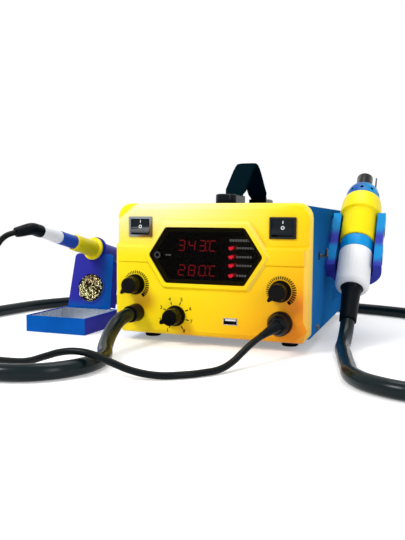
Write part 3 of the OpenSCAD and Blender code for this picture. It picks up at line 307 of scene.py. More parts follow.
def case_finish():
    """Blue powder coat, darker towards the top and the back."""
    m = surface("case_blue", CASE_BLUE, rough=0.45, grain=0.3, grain_size=0.5, specular=0.0)
    tree = m.node_tree
    _, y, z = place_xyz(tree)
    up_and_back = math_node(tree, "ADD", z, math_node(tree, "MULTIPLY", y, CASE_BACK))
    rise = fade(tree, up_and_back, *CASE_RISE)
    tree.links.new(blend_color(tree, rise, plain_color(m), CASE_DARK), base_color(m))
    return m


# Painted shade, violet, with two bands of painted light, cyan, that is lighter on faces turned to the right
HOLDER_SHADE_VIOLET = (0.03, 0.04, 0.36)
HOLDER_LIT_CYANS, LIT_CYAN_FACING = ((0.002, 0.13, 0.46), (0.004, 0.26, 0.6)), (-0.5, 0.2)
UPPER_LIT_BAND, LOWER_LIT_BAND_FROM, LOWER_LIT_BAND_TO = (0.108, 0.118), (0.08, 0.088), (0.096, 0.103)


def holder_finish():
    """Glossy blue that passes from painted light, cyan, to painted shade, violet, back and again down the
    arms; the cyan is lighter on faces turned to the right.
    """
    m = surface("holder_blue", HOLDER_SHADE_VIOLET, rough=0.3, grain=0.1, specular=0.06)
    tree = m.node_tree
    _, _, z = place_xyz(tree)
    # Painted light and shade: cyan bands on violet
    upper = fade(tree, z, *UPPER_LIT_BAND)
    lower = math_node(tree, "MULTIPLY", fade(tree, z, *LOWER_LIT_BAND_FROM),
                      flip(tree, fade(tree, z, *LOWER_LIT_BAND_TO)))
    bands = math_node(tree, "MAXIMUM", upper, lower)
    cyan = blend_color(tree, fade(tree, facing(tree, "X"), *LIT_CYAN_FACING), *HOLDER_LIT_CYANS)
    tree.links.new(blend_color(tree, bands, plain_color(m), cyan), base_color(m))
    return m


# Cyan is painted light on faces turned to the right
COLLAR_BLUE, COLLAR_LIT_CYAN, COLLAR_LIT_FACING = (0.002, 0.09, 0.36), (0.0, 0.28, 0.58), (-0.3, 0.8)


def collar_finish():
    """Deep blue at the left that turns to cyan at the right: painted light on faces turned to the right."""
    m = surface("collar_blue", COLLAR_BLUE, rough=0.25, grain=0.05, specular=0.15)
    tree = m.node_tree
    turned = fade(tree, facing(tree, "X"), *COLLAR_LIT_FACING)
    tree.links.new(blend_color(tree, turned, plain_color(m), COLLAR_LIT_CYAN), base_color(m))
    return m


# The left frame carries a painted reflection, silver grey that shades to bronze
BEZEL_BLACK, BEZEL_REFLECT_SILVER, BEZEL_REFLECT_BRONZE = (0.006, 0.006, 0.007), (0.24, 0.27, 0.3), (0.13, 0.07, 0.02)
LEFT_BEZEL_AT, REFLECT_RUN = (-0.073, 0.1165), (0.002, 0.014)  # the run goes to the right and down


def bezel_finish():
    """Black frame for the right switch; the left one is painted with a reflection that shades from silver
    grey to bronze.
    """
    m = surface("switch_bezel", BEZEL_BLACK, rough=0.25, grain=0.05, specular=0.25)
    tree = m.node_tree
    x, _, z = place_xyz(tree)
    right, up = [math_node(tree, "SUBTRACT", socket, middle)
                 for socket, middle in zip((x, z), LEFT_BEZEL_AT)]
    to_corner = math_node(tree, "SUBTRACT", right, up)
    # Painted reflection on the left frame
    metal = blend_color(tree, fade(tree, to_corner, *REFLECT_RUN), BEZEL_REFLECT_SILVER, BEZEL_REFLECT_BRONZE)
    left = math_node(tree, "LESS_THAN", x, 0.0)
    tree.links.new(blend_color(tree, left, plain_color(m), metal), base_color(m))
    return m


def lens_finish():
    """Smoked lens; light passes its front and its back."""
    m, _, bsdf = new_material("dark_lens")
    bsdf.inputs["Base Color"].default_value = (0.0015, 0.001, 0.001, 1)
    bsdf.inputs["Roughness"].default_value = 0.12
    bsdf.inputs["Alpha"].default_value = 0.8
    bsdf.inputs["Specular IOR Level"].default_value = 0.03
    return m


USB_TONGUE_Z, USB_TONGUE_HALF = 0.02795, 0.0009
USB_LIP_Y, USB_TONGUE_Y = 0.0002, 0.0012  # how far back the shell's lip and the tongue's tip reach
# Black inside the shell is painted shade
USB_INSIDE_SHADE, USB_TONGUE = (0.004, 0.004, 0.004), (0.8, 0.82, 0.84)


def usb_finish():
    """Bright shell with painted shade, black, inside it, and a white tongue."""
    m = surface("usb_shell", (0.5, 0.46, 0.4), rough=0.22, metal=1.0)
    tree = m.node_tree
    _, y, z = place_xyz(tree)
    inside = math_node(tree, "GREATER_THAN", y, USB_LIP_Y)
    off_tongue = math_node(tree, "ABSOLUTE", math_node(tree, "SUBTRACT", z, USB_TONGUE_Z))
    tongue = math_node(tree, "MULTIPLY", math_node(tree, "LESS_THAN", off_tongue, USB_TONGUE_HALF),
                       math_node(tree, "LESS_THAN", y, USB_TONGUE_Y))
    # Painted shade: black inside the shell, round the tongue
    dark = blend_color(tree, tongue, USB_INSIDE_SHADE, USB_TONGUE)
    tree.links.new(blend_color(tree, inside, plain_color(m), dark), base_color(m))
    tree.links.new(flip(tree, inside), tree.nodes["Principled BSDF"].inputs["Metallic"])
    return m


FINISH = {
    "fascia_yellow": fascia_finish(),
    "case_blue": case_finish(),
    "black_sheet": surface("black_sheet", (0.008, 0.008, 0.009), rough=0.5, grain=0.4, grain_size=0.5,
                           specular=0.08),
    "black_rubber": surface("black_rubber", (0.007, 0.007, 0.008), rough=0.7, grain=0.3,
                            grain_size=0.4, specular=0.06),
    "dark_steel": surface("dark_steel", (0.07, 0.07, 0.075), rough=0.35, metal=0.9, grain=0.1),
    "dark_lens": lens_finish(),
    "bright_steel": surface("bright_steel", (0.78, 0.79, 0.82), rough=0.16, metal=1.0, grain=0.05,
                            mottle=0.04, stretch=(1, 1, 12)),
    "display_black": surface("display_black", (0.002, 0.002, 0.002), rough=0.6, specular=0.05),
    "lamp_red": glow("lamp_red", (1.0, 0.05, 0.06), 1.5),
    "board_green": surface("board_green", (0.02, 0.14, 0.06), rough=0.35, coat=0.4, grain=0.1),
    "switch_black": surface("switch_black", (0.004, 0.004, 0.005), rough=0.3, grain=0.1,
                            specular=0.07),
    "rocker_black": surface("rocker_black", (0.006, 0.01, 0.014), rough=0.22, grain=0.05,
                            specular=0.1),
    "knob_black": surface("knob_black", (0.003, 0.003, 0.003), rough=0.2, grain=0.05,
                          specular=0.07),
    "pot_metal": surface("pot_metal", (0.45, 0.42, 0.34), rough=0.35, metal=1.0),
    "boot_black": surface("boot_black", (0.003, 0.005, 0.007), rough=0.32, grain=0.12,
                          grain_size=0.4, specular=0.06),
    "core_steel": surface("core_steel", (0.14, 0.12, 0.1), rough=0.5, metal=0.6, grain=0.3,
                          stretch=(40, 1, 1)),
    "cast_grey": surface("cast_grey", (0.35, 0.36, 0.38), rough=0.55, metal=0.7, grain=0.4),
    "strap_rubber": surface("strap_rubber", (0.0015, 0.008, 0.012), rough=0.5, grain=0.5,
                            grain_size=0.7, specular=0.0),
    "cap_grey": surface("cap_grey", (0.004, 0.007, 0.009), rough=0.2, grain=0.05, specular=0.09),
    "holder_blue": surface("iron_blue", (0.02, 0.07, 0.4), rough=0.32, grain=0.1, specular=0.1),
    "grip_white": surface("grip_white", (0.86, 0.87, 0.88), rough=0.4, grain=0.12, mottle=0.02,
                          specular=0.25),
    "ring_blue": surface("ring_blue", (0.0, 0.28, 0.66), rough=0.27, grain=0.05, mottle=0.03,
                         specular=0.15),
    "gun_yellow": surface("gun_yellow", (0.93, 0.74, 0.0), rough=0.32, grain=0.08, mottle=0.03,
                          specular=0.2),
    "ceramic": surface("ceramic", (0.7, 0.66, 0.58), rough=0.8, grain=0.4),
    "hose_black": surface("hose_black", (0.003, 0.009, 0.011), rough=0.22, grain=0.05,
                          specular=0.16),
    "stand_blue": stand_finish(),
    "tray_metal": surface("tray_metal", (0.62, 0.66, 0.72), rough=0.26, metal=0.85, grain=0.1,
                          stretch=(1, 18, 1)),
    "brass_wool": surface("brass_wool", (0.95, 0.67, 0.37), rough=0.2, metal=1.0, mottle=0.5,
                          grain_size=0.3),
    "cord_black": surface("cord_black", (0.003, 0.005, 0.006), rough=0.28, grain=0.05,
                          specular=0.1),
}
# Nodes whose finish isn't their slot's
OWN_FINISH = {
    "switch_bezels": bezel_finish(),
    "calibration_jack": surface("jack_metal", (0.05, 0.05, 0.055), rough=0.18, metal=1.0),
    "usb_socket": usb_finish(),
    "gun_holder": holder_finish(),
    "vent_collar": collar_finish(),
    "nozzle_pipe": surface("pipe_dark", (0.009, 0.009, 0.011), rough=0.2, metal=1.0),
    "cord_hook": surface("hook_metal", (0.06, 0.06, 0.065), rough=0.2, metal=1.0),
}
PRINT_BLACK = surface("print_black", (0.004, 0.003, 0.002), rough=0.6, mottle=0.1, specular=0.02)
PRINT_WHITE = surface("print_white", (0.85, 0.86, 0.86), rough=0.5, mottle=0.03)
DIGIT_RED = glow("digit_red", (0.6, 0.015, 0.025), 7.5)
LAMP_RED = glow("lamp_face", (0.9, 0.02, 0.05), 14.0)
# Print that glows, painted light, so that it shows through the dark lens
PRINT_GLOW = glow("panel_print_glow", (0.75, 0.7, 0.7), 3.6)
WELD_REACH = 0.004 * MM
EDGE_WIDTH, EDGE_ANGLE = 0.3 * MM, math.radians(38)
NO_SOFT_EDGES = ("vent_collar", "iron_cord", "air_hose", "iron_cord_coil")


def dress_nodes():
    """Gives each CAD node its finish and softens its edges."""
    slots = {s["node"]: s["material_slot"] for s in frame["record"]["subparts"]}
    for name, obj in nodes.items():
        obj.data.materials.clear()
        obj.data.materials.append(OWN_FINISH.get(name) or FINISH[slots[name]])
        if name in NO_SOFT_EDGES:
            continue
        weld = obj.modifiers.new("weld", "WELD")
        weld.merge_threshold = WELD_REACH
        bevel = obj.modifiers.new("edges", "BEVEL")
        bevel.width = EDGE_WIDTH
        bevel.segments = 2
        bevel.limit_method = "ANGLE"
        bevel.angle_limit = EDGE_ANGLE
        bevel.harden_normals = True


dress_nodes()


# Mesh helpers
def add_object(name, data, body, material):
    obj = bpy.data.objects.new(name, data)
    bpy.context.scene.collection.objects.link(obj)
    data.materials.append(material)
    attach(obj, body)
    return obj


def add_mesh(name, verts, faces, body, material, smooth=False):
    mesh = bpy.data.meshes.new(name)
    mesh.from_pydata([tuple(v) for v in verts], [], faces)
    mesh.validate()
    mesh.update()
    if smooth:
        mesh.polygons.foreach_set("use_smooth", [True] * len(mesh.polygons))
    return add_object(name, mesh, body, material)


def prisms(outlines, place, depth):
    """Verts and faces of flat shapes with a little depth.

    Each outline of (x, z) points goes from place(x, z, 0) to place(x, z, depth).
    """
    verts, faces = [], []
    for outline in outlines:
        n, start = len(outline), len(verts)
        verts += [place(x, z, 0) for x, z in outline] + [place(x, z, depth) for x, z in outline]
        faces.append([start + k for k in range(n)])
        faces.append([start + n + k for k in reversed(range(n))])
        faces += [[start + k, start + n + k, start + n + (k + 1) % n, start + (k + 1) % n]
                  for k in range(n)]
    return verts, faces


def bar(x0, z0, x1, z1, w):
    """A straight stroke from one point to another."""
    dx, dz = x1 - x0, z1 - z0
    k = w / 2 / math.hypot(dx, dz)
    nx, nz = -dz * k, dx * k
    return [(x0 + nx, z0 + nz), (x0 - nx, z0 - nz), (x1 - nx, z1 - nz), (x1 + nx, z1 + nz)]


def sweep(centres, section, name, body, material):
    """A closed skin along centres; section(i) gives points (across, over), and across lies along X."""
    verts, faces = [], []
    rings = []
    for i, c in enumerate(centres):
        t = (centres[min(i + 1, len(centres) - 1)] - centres[max(i - 1, 0)]).normalized()
        over = t.cross(Vector((1, 0, 0))).normalized()
        ring = [c + Vector((1, 0, 0)) * a + over * o for a, o in section(i)]
        rings.append(list(range(len(verts), len(verts) + len(ring))))
        verts += ring
    n = len(rings[0])
    for a, b in zip(rings, rings[1:]):
        faces += [[a[k], a[(k + 1) % n], b[(k + 1) % n], b[k]] for k in range(n)]
    faces += [list(reversed(rings[0])), rings[-1]]
    return add_mesh(name, verts, faces, body, material, smooth=True)


# Hose and cord: points on their centrelines, in millimetres above the bench
HOSE_ROUTE = [
    (-75, -12, 30), (-75.3, -24, 29.4), (-76, -37, 26.4), (-75, -51, 20.4), (-71.5, -66, 14.4),
    (-65.5, -82, 10), (-56.5, -100, 7.3), (-52.2, -122, 7), (-57.7, -146.5, 7), (-73, -166.6, 7),
    (-91, -177, 7), (-111, -180.4, 7), (-251, -180.4, 7), (-280.5, -172.5, 7), (-302.1, -150.9, 7),
    (-310, -121.4, 7), (-311, -20, 7), (-307, 90, 7), (-287, 174, 7), (-230, 243, 7), (-145, 284, 7),
    (0, 298, 7), (143, 281, 7), (218, 234, 7), (255, 155, 7), (262, 60, 7), (261, -63, 7),
    (253, -92.5, 7), (231.5, -114, 7), (202, -122, 7), (172.5, -114, 7), (151, -92.5, 7),
    (143, -63, 7), (134.5, -18, 7), (129, 12.2, 7), (128.6, 27.5, 9.1), (128.5, 41.7, 15.2),
    (128.5, 54, 25.2), (128.5, 66, 38.1), (128.5, 78, 51)]
CORD_ROUTE = [
    (65.5, -41.4, 22.2), (61, -55, 18), (56.5, -68, 12.5), (52, -81, 7), (46, -95, 3.6),
    (37, -108, 3), (24, -121, 3), (7, -131, 3.4), (-12, -136, 6.5), (-29, -138, 12), (-44, -139, 17),
    (-58, -140, 18.8), (-73, -140, 17), (-89, -139, 12), (-106, -137, 6.5), (-124, -134, 4),
    (-180, -126, 3), (-208, -123, 3), (-235, -122.3, 3)]
RISER_ROUTE = [
    (-258.3, -56.7, 15.3), (-246, -49, 17.5), (-233, -47, 23), (-222, -48, 33), (-214, -50, 46),
    (-209.5, -52, 60), (-208.5, -53, 75), (-207.6, -51.5, 89), (-206, -46, 99.2),
    (-203.4, -38.2, 106), (-200, -28.6, 109.4)]
HOSE_D, CORD_D = 13.8, 5.9
COIL_AT, COIL_START, COIL_STEP = (-235, -80), -90, 15
# Along the coil: degrees turned, distance from its middle, height
COIL_STAGES = [(0, 42.3, 3), (45, 36, 3), (315, 36, 3), (375, 30, 3), (660, 30, 3), (735, 33, 8.6),
               (1080, 33, 8.6), (1215, 33, 15.3)]


def coil_turns():
    """The coil's centreline: an outer turn and an inner one on the bench, one on top, then a rise."""
    points = []
    for turn in range(COIL_STEP, COIL_STAGES[-1][0], COIL_STEP):
        for (a0, r0, z0), (a1, r1, z1) in zip(COIL_STAGES, COIL_STAGES[1:]):
            if a0 <= turn <= a1:
                k = (turn - a0) / (a1 - a0)
                k = k * k * (3 - 2 * k)
                a = math.radians(COIL_START - turn)
                r = r0 + (r1 - r0) * k
                points.append((COIL_AT[0] + r * math.cos(a), COIL_AT[1] + r * math.sin(a),
                               z0 + (z1 - z0) * k))
                break
    return points


def smooth_curve(name, points, diameter, material):
    """A round tube of one diameter through points."""
    data = bpy.data.curves.new(name, "CURVE")
    data.dimensions = "3D"
    data.bevel_depth = diameter / 2 * MM
    data.bevel_resolution = 6
    data.resolution_u = 6
    data.use_fill_caps = True
    spline = data.splines.new("BEZIER")
    spline.bezier_points.add(len(points) - 1)
    for p, b in zip(points, spline.bezier_points):
        b.co = pt(*p)
        b.handle_left_type = b.handle_right_type = "AUTO"
    return add_object(name, data, "station", material)


def make_cords():
    hose = smooth_curve("air_hose_tube", HOSE_ROUTE, HOSE_D, FINISH["hose_black"])
    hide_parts("air_hose")
    route = CORD_ROUTE + coil_turns() + RISER_ROUTE
    cord = smooth_curve("iron_cord_line", route, CORD_D, FINISH["cord_black"])
    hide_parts("iron_cord", "iron_cord_coil")


make_cords()


# Print on the front panel
PRINT_T = 0.08  # how far print stands off its surface, in millimetres
KNOB_AT = {"hot_air": (-76, 49.5), "soldering": (73, 49), "airflow": (-32, 20)}
AIRFLOW_STEPS, AIRFLOW_TURN = 8, (-150, 149)
# Ticks round a knob: how many, inner radius, then for the first and the last tick the outer radius,
# the width and the angle
TICKS = {"hot_air": (29, 11.2, (13.0, 15.6), (0.7, 1.5), (-130, 130)),
         "soldering": (29, 11.2, (13.6, 15.6), (0.9, 1.5), (-130, 130)),
         "airflow": (AIRFLOW_STEPS, 11.4, (14.4, 14.8), (0.95, 1.15), AIRFLOW_TURN)}
TICK_GROWTH = 1.5  # above 1, most of the growth comes late
BLOCK_TURN, BLOCK_R, BLOCK_W = math.radians(141), (11.4, 15.2), 2.8
NUMBER_R, NUMBER_SIZE, NUMBER_Y = 17.3, 4.9, -0.04
NUMBER_T, NUMBER_SWELL = 0.03, 0.09  # half its thickness, and how much its strokes are fattened


def print_on(y):
    """Sets flat shapes on the face at y of the panel."""
    return lambda x, z, d: on_panel(x, y - d, z)


def dial_ticks(centre, count, r0, r1, width, turn):
    """Strokes round a knob; turn is the first and last angle, clockwise from straight up.

    r1 and width are (start, end): the strokes grow longer and wider on the way round.
    """
    out = []
    for k in range(count):
        f = k / (count - 1)
        a = math.radians(turn[0] + (turn[1] - turn[0]) * f)
        w = width[0] + (width[1] - width[0]) * f ** TICK_GROWTH
        r = r1[0] + (r1[1] - r1[0]) * f ** TICK_GROWTH
        s, c = math.sin(a), math.cos(a)
        out.append(bar(centre[0] + r0 * s, centre[1] + r0 * c, centre[0] + r * s, centre[1] + r * c, w))
    return out


def add_number(text, x, z):
    """A plain number printed flat on the panel."""
    data = bpy.data.curves.new("dial_number_" + text, "FONT")
    data.body = text
    data.size = NUMBER_SIZE * MM
    data.align_x, data.align_y = "CENTER", "CENTER"
    data.extrude = NUMBER_T * MM
    data.offset = NUMBER_SWELL * MM
    obj = add_object("dial_number_" + text, data, "station", PRINT_BLACK)
    upright = Matrix.Rotation(math.radians(90), 4, "X")
    obj.matrix_world = Matrix.Translation(on_panel(x, NUMBER_Y, z)) @ upright


def print_dials():
    """Ticks round the knobs, a block at the end of each big dial, and the airflow's numbers."""
    shapes = []
    for name, ticks in TICKS.items():
        shapes += dial_ticks(KNOB_AT[name], *ticks)
    for name in ("hot_air", "soldering"):
        x, z = KNOB_AT[name]
        s, c = math.sin(BLOCK_TURN), math.cos(BLOCK_TURN)
        near, far = BLOCK_R
        shapes.append(bar(x + near * s, z + near * c, x + far * s, z + far * c, BLOCK_W))
    verts, faces = prisms(shapes, print_on(0), PRINT_T)
    add_mesh("dial_ticks", verts, faces, "station", PRINT_BLACK)
    first, last = AIRFLOW_TURN
    x, z = KNOB_AT["airflow"]
    for k in range(AIRFLOW_STEPS):
        a = math.radians(first + (last - first) / (AIRFLOW_STEPS - 1) * k)
        add_number(str(k + 1), x + NUMBER_R * math.sin(a), z + NUMBER_R * math.cos(a))


print_dials()


# Display: places in millimetres from the panel's middle and bottom edge
DIGIT_W, DIGIT_H, STROKE, STROKE_GAP, SLANT = 6.3, 9.8, 0.85, 0.3, 0.1
DIGIT_Y, DISPLAY_T = 1.9, 0.1
DIGIT_X, DIGIT_PITCH = -30.4, 10.8
ROWS = [("343C", 84.8), ("280C", 60.6)]
POINT_RIGHT, POINT_UP, POINT_SIZE = 1.6, 0.3, 1.1  # from the third digit's lower right
DEGREE_LEFT, DEGREE_DOWN, DEGREE_SIZE = 1.2, 0.4, 1.4  # from the letter's upper left
LAMP_X, LAMP_ROWS, LAMP_SIDES = 22.7, (88.3, 79.8, 71.6, 62.0), 14
LAMP_DISCS, LAMP_SQUARE = [(0, -0.3, 2.8), (2.4, 0.1, 3.2)], (1, -1, 2.8)  # right, up and size
# Dashes in place of words; a dash is its length and its width
DASH_PITCH = 2.6
CAPTION_LENGTHS, CAPTION_RIGHT, CAPTION_DOWN, CAPTION_DASH = (18.5, 17, 16.5, 14), 7, 0.1, (1.6, 1.9)
TITLE_Z, TITLE_DASHES, TITLE_DASH = 95.4, 8, (1.7, 2.3)
JACK_CAPTION, JACK_DASHES, JACK_DASH, JACK_PITCH = (-43.6, 80), 3, (1.3, 1.4), 2
SEGMENTS = {"0": "abcdef", "2": "abdeg", "3": "abcdg", "4": "bcfg", "8": "abcdefg", "C": "adef"}


def segment_shapes(char, x, z):
    """Outlines of a seven-segment character whose lower left corner is at x, z."""
    w, h, s, gap = DIGIT_W, DIGIT_H, STROKE, STROKE_GAP
    ends = {"a": ((0, h), (w, h)), "b": ((w, h), (w, h / 2)), "c": ((w, h / 2), (w, 0)),
            "d": ((0, 0), (w, 0)), "e": ((0, h / 2), (0, 0)), "f": ((0, h), (0, h / 2)),
            "g": ((0, h / 2), (w, h / 2))}
    out = []
    for name in SEGMENTS[char]:
        (x0, z0), (x1, z1) = ends[name]
        d = Vector((x1 - x0, z1 - z0)).normalized()
        n = Vector((-d.y, d.x)) * s / 2
        a, b = Vector((x0, z0)) + d * gap, Vector((x1, z1)) - d * gap
        tips = [a, a + d * s / 2 + n, b - d * s / 2 + n, b, b - d * s / 2 - n, a + d * s / 2 - n]
        out.append([(x + p.x + SLANT * p.y, z + p.y) for p in tips])
    return out


def square_dot(x, z, s):
    return [(x - s / 2, z - s / 2), (x + s / 2, z - s / 2), (x + s / 2, z + s / 2), (x - s / 2, z + s / 2)]


def ring_shapes(x, z, r0, r1, count=20):
    """A ring round x, z as short pieces."""
    out = []
    for k in range(count):
        a0, a1 = [2 * math.pi * i / count for i in (k, k + 1)]
        out.append([(x + r * math.cos(a), z + r * math.sin(a))
                    for r, a in ((r1, a0), (r1, a1), (r0, a1), (r0, a0))])
    return out


def lamp_shape(x, z, d):
    angles = [2 * math.pi * k / LAMP_SIDES for k in range(LAMP_SIDES)]
    return [(x + d / 2 * math.cos(a), z + d / 2 * math.sin(a)) for a in angles]


def dashes(x, z, count, length, width, pitch=DASH_PITCH):
    """A row of plain dashes in place of a word."""
    return [bar(x + pitch * k, z, x + length + pitch * k, z, width) for k in range(count)]


def make_display():
    """Two readings, four lamps with their captions, and the jack's caption; the captions are print that
    glows as painted light.
    """
    digits, lamps, captions = [], [], []
    for text, z in ROWS:
        for k, char in enumerate(text):
            digits += segment_shapes(char, DIGIT_X + DIGIT_PITCH * k, z)
        point_x = DIGIT_X + DIGIT_PITCH * 2 + DIGIT_W + POINT_RIGHT
        degree_x = DIGIT_X + DIGIT_PITCH * 3 - DEGREE_LEFT
        digits += [square_dot(point_x, z + POINT_UP, POINT_SIZE),
                   square_dot(degree_x, z + DIGIT_H - DEGREE_DOWN, DEGREE_SIZE)]
    verts, faces = prisms(digits, print_on(DIGIT_Y), DISPLAY_T)
    add_mesh("digit_segments", verts, faces, "station", DIGIT_RED)
    for z, length in zip(LAMP_ROWS, CAPTION_LENGTHS):
        lamps += [lamp_shape(LAMP_X + right, z + up, size) for right, up, size in LAMP_DISCS]
        right, up, size = LAMP_SQUARE
        lamps.append(square_dot(LAMP_X + right, z + up, size))
        captions += dashes(LAMP_X + CAPTION_RIGHT, z - CAPTION_DOWN, int(length / DASH_PITCH), *CAPTION_DASH)
    captions += dashes(LAMP_X, TITLE_Z, TITLE_DASHES, *TITLE_DASH)
    verts, faces = prisms(lamps, print_on(DIGIT_Y), DISPLAY_T)
    add_mesh("lamp_faces", verts, faces, "station", LAMP_RED)
    captions += dashes(*JACK_CAPTION, JACK_DASHES, *JACK_DASH, pitch=JACK_PITCH)
    # The captions glow: painted light on print
    verts, faces = prisms(captions, print_on(DIGIT_Y), DISPLAY_T)
    add_mesh("display_bars", verts, faces, "station", PRINT_GLOW)


make_display()


# Rocker marks
ROCKER_Y, SWITCH_X, SWITCH_Z = 8.5, 73, 107.5
ROCKER_REST = math.radians(-10)
ROCKER_HALF, FACE_LOW, FACE_CROWN, FACE_POWER = 7.05, -3.6, -5.2, 1.6
MARK_LIFT, MARK_T = 0.02, 0.06
I_MARK = (-0.1, 3.3, 0.3, 6.1, 0.65)  # a stroke: its ends and width
O_MARK = (0, -0.4, 1.05, 1.7)  # a ring: its middle, inner and outer radius


def mark_rocker(side, body):
    """White I above and O below on a rocker's hollow face, turned with the rocker."""
    turn = Matrix.Rotation(ROCKER_REST, 4, "X")
    place = Matrix.Translation(on_panel(side * SWITCH_X, ROCKER_Y, SWITCH_Z))

    def face(x, z, d):
        y = FACE_LOW + (FACE_CROWN - FACE_LOW) * abs(z / ROCKER_HALF) ** FACE_POWER - MARK_LIFT - d
        return place @ turn @ (Vector((x, y, z)) * MM)

    verts, faces = prisms([bar(*I_MARK)] + ring_shapes(*O_MARK), face, MARK_T)
    add_mesh(body + "_marks", verts, faces, body, PRINT_WHITE)


mark_rocker(-1, "left_switch")
mark_rocker(1, "right_switch")


# Handle strap: half its line, as distance from its middle and height above the cover
HANDLE_Y, COVER_TOP = 140, 129.5
STRAP_HALF = [
    (69, 6), (64, 6), (58, 8.6), (52.5, 12.8), (46, 18.3), (40, 23), (33, 28.8), (25.5, 35),
    (18, 41), (11, 45.5), (5, 48.3), (0, 49)]
STRAP_SIZE, GRIP_SIZE = (20, 3.4), (23, 6.0)  # width and thickness at the legs and at the grip
STRAP_STEPS, STRAP_SIDES = 4, 24  # sections per stretch of the line, and points per section
GRIP_FROM, GRIP_BLEND = 13, 3  # sections from the strap's end to the grip, then to its full size
STRAP_ROUNDNESS = (0.35, 0.5)  # across and over; 1 is an ellipse and 0 a rectangle


def make_strap():
    """The strap as one skin, wider and thicker along the grip."""
    line = STRAP_HALF + [(-y, z) for y, z in reversed(STRAP_HALF[:-1])]
    corners = [on_panel(0, HANDLE_Y - y, COVER_TOP + z) for y, z in line]
    centres = []
    for a, b in zip(corners, corners[1:]):
        centres += [a.lerp(b, k / STRAP_STEPS) for k in range(STRAP_STEPS)]
    centres.append(corners[-1])

    across, over = STRAP_ROUNDNESS

    def section(i):
        from_end = min(i, len(centres) - 1 - i)
        grow = min(1, max(0, from_end - GRIP_FROM) / GRIP_BLEND)
        w, t = [leg + (grip - leg) * grow for leg, grip in zip(STRAP_SIZE, GRIP_SIZE)]
        out = []
        for k in range(STRAP_SIDES):
            a = 2 * math.pi * k / STRAP_SIDES
            c, s = math.cos(a), math.sin(a)
            out.append((w / 2 * MM * math.copysign(abs(c) ** across, c),
                        t / 2 * MM * math.copysign(abs(s) ** over, s)))
        return out

    strap = sweep(centres, section, "strap_band", "station", FINISH["strap_rubber"])
    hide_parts("handle_strap")


make_strap()


# Wire wool, in the hole of the stand's leaning plate
LEAN = math.radians(13)
PLATE_AT = pt(-180.5, 85, 18)
WOOL_UP, WOOL_R = 24, 16.4
WOOL_LIMIT = WOOL_R - 0.6  # no shaving goes past this radius
START_DOME, WOOL_DOME, WOOL_LIFT = 6.6, 6.3, 0.3  # curls start under the first, end under the others
RIBBON_EDGE, RIBBON_HALF = 0.22, 0.35  # half a shaving's thickness, and half its flat width
CURLS, CURL_POINTS, CURL_SPREAD = 100, 12, 0.93  # the spread is a share of the opening's radius
CURL_PITCH, CURL_TILT = 6, 0.6
# Ranges for a curl's depth under the dome, its radius and its turns
CURL_DEPTH, CURL_R, CURL_TURNS = (0.8, 5.5), (1.0, 2.6), (0.8, 1.9)
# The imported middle: a low dome, with waves that twist on the way up
CORE_ROWS, CORE_COLS, CORE_R, CORE_H, CORE_DEPTH = 10, 36, WOOL_R - 0.4, 4.0, 1.5
CORE_DENT, DENT_WAVES, DENT_TWIST = 0.12, 7, 3
AT_PLATE = Matrix.Translation(PLATE_AT) @ Matrix.Rotation(math.radians(90) - LEAN, 4, "X")


def dome(height, r):
    """How far a dome over the opening stands out at radius r."""
    return height * math.sqrt(max(0, 1 - (r / WOOL_R) ** 2))


def make_wool():
    """Loose brass shavings: flat curls that crowd the cup and bulge out of the plate's opening."""
    data = bpy.data.curves.new("brass_shavings", "CURVE")
    data.dimensions = "3D"
    data.bevel_depth = RIBBON_EDGE * MM
    data.bevel_resolution = 1
    data.extrude = RIBBON_HALF * MM
    data.resolution_u = 2
    for _ in range(CURLS):
        r = WOOL_R * math.sqrt(RNG.random()) * CURL_SPREAD
        a = RNG.uniform(0, 2 * math.pi)
        depth = dome(START_DOME, r) - RNG.uniform(*CURL_DEPTH)
        centre = Vector((r * math.cos(a), WOOL_UP + r * math.sin(a), depth))
        curl = RNG.uniform(*CURL_R)
        turns = RNG.uniform(*CURL_TURNS)
        axis = Vector((RNG.gauss(0, 1), RNG.gauss(0, 1), RNG.gauss(0, CURL_TILT))).normalized()
        side = axis.orthogonal().normalized()
        other = axis.cross(side)
        start = RNG.uniform(0, 6.28)
        spline = data.splines.new("NURBS")
        spline.points.add(CURL_POINTS - 1)
        spline.use_endpoint_u = True
        for k in range(CURL_POINTS):
            t = k / (CURL_POINTS - 1)
            b = start + 2 * math.pi * turns * t
            p = centre + curl * (side * math.cos(b) + other * math.sin(b)) + axis * (t - 0.5) * CURL_PITCH
            flat = Vector((p.x, p.y - WOOL_UP))
            if flat.length > WOOL_LIMIT:
                flat = flat.normalized() * WOOL_LIMIT
            p = Vector((flat.x, flat.y + WOOL_UP, min(p.z, dome(WOOL_DOME, flat.length) + WOOL_LIFT)))
            spline.points[k].co = (*(AT_PLATE @ (p * MM)), 1)
            spline.points[k].tilt = b
    wool = add_object("brass_shavings", data, "station", FINISH["brass_wool"])
    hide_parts("wire_wool")


def make_wool_core():
    """The middle that shows between the shavings, dark as painted shade."""
    verts, faces, rows, cols = [], [], CORE_ROWS, CORE_COLS
    for i in range(rows + 1):
        u = i / rows * math.pi / 2
        for j in range(cols):
            a = 2 * math.pi * j / cols
            dent = 1 - CORE_DENT * math.sin(DENT_WAVES * a + DENT_TWIST * i) * math.sin(2 * u)
            r, z = CORE_R * math.cos(u), CORE_H * math.sin(u) * dent
            p = Vector((r * math.cos(a), WOOL_UP + r * math.sin(a), z - CORE_DEPTH))
            verts.append(AT_PLATE @ (p * MM))
    for i in range(rows):
        for j in range(cols):
            near, far = i * cols, (i + 1) * cols
            faces.append([near + j, near + (j + 1) % cols, far + (j + 1) % cols, far + j])
    core = surface("wool_shade", (0.03, 0.014, 0.005), rough=0.6, grain=1.0, grain_size=1.0,
                   mottle=0.5, specular=0.1)
    add_mesh("wool_core", verts, faces, "station", core, smooth=True)


make_wool()
make_wool_core()


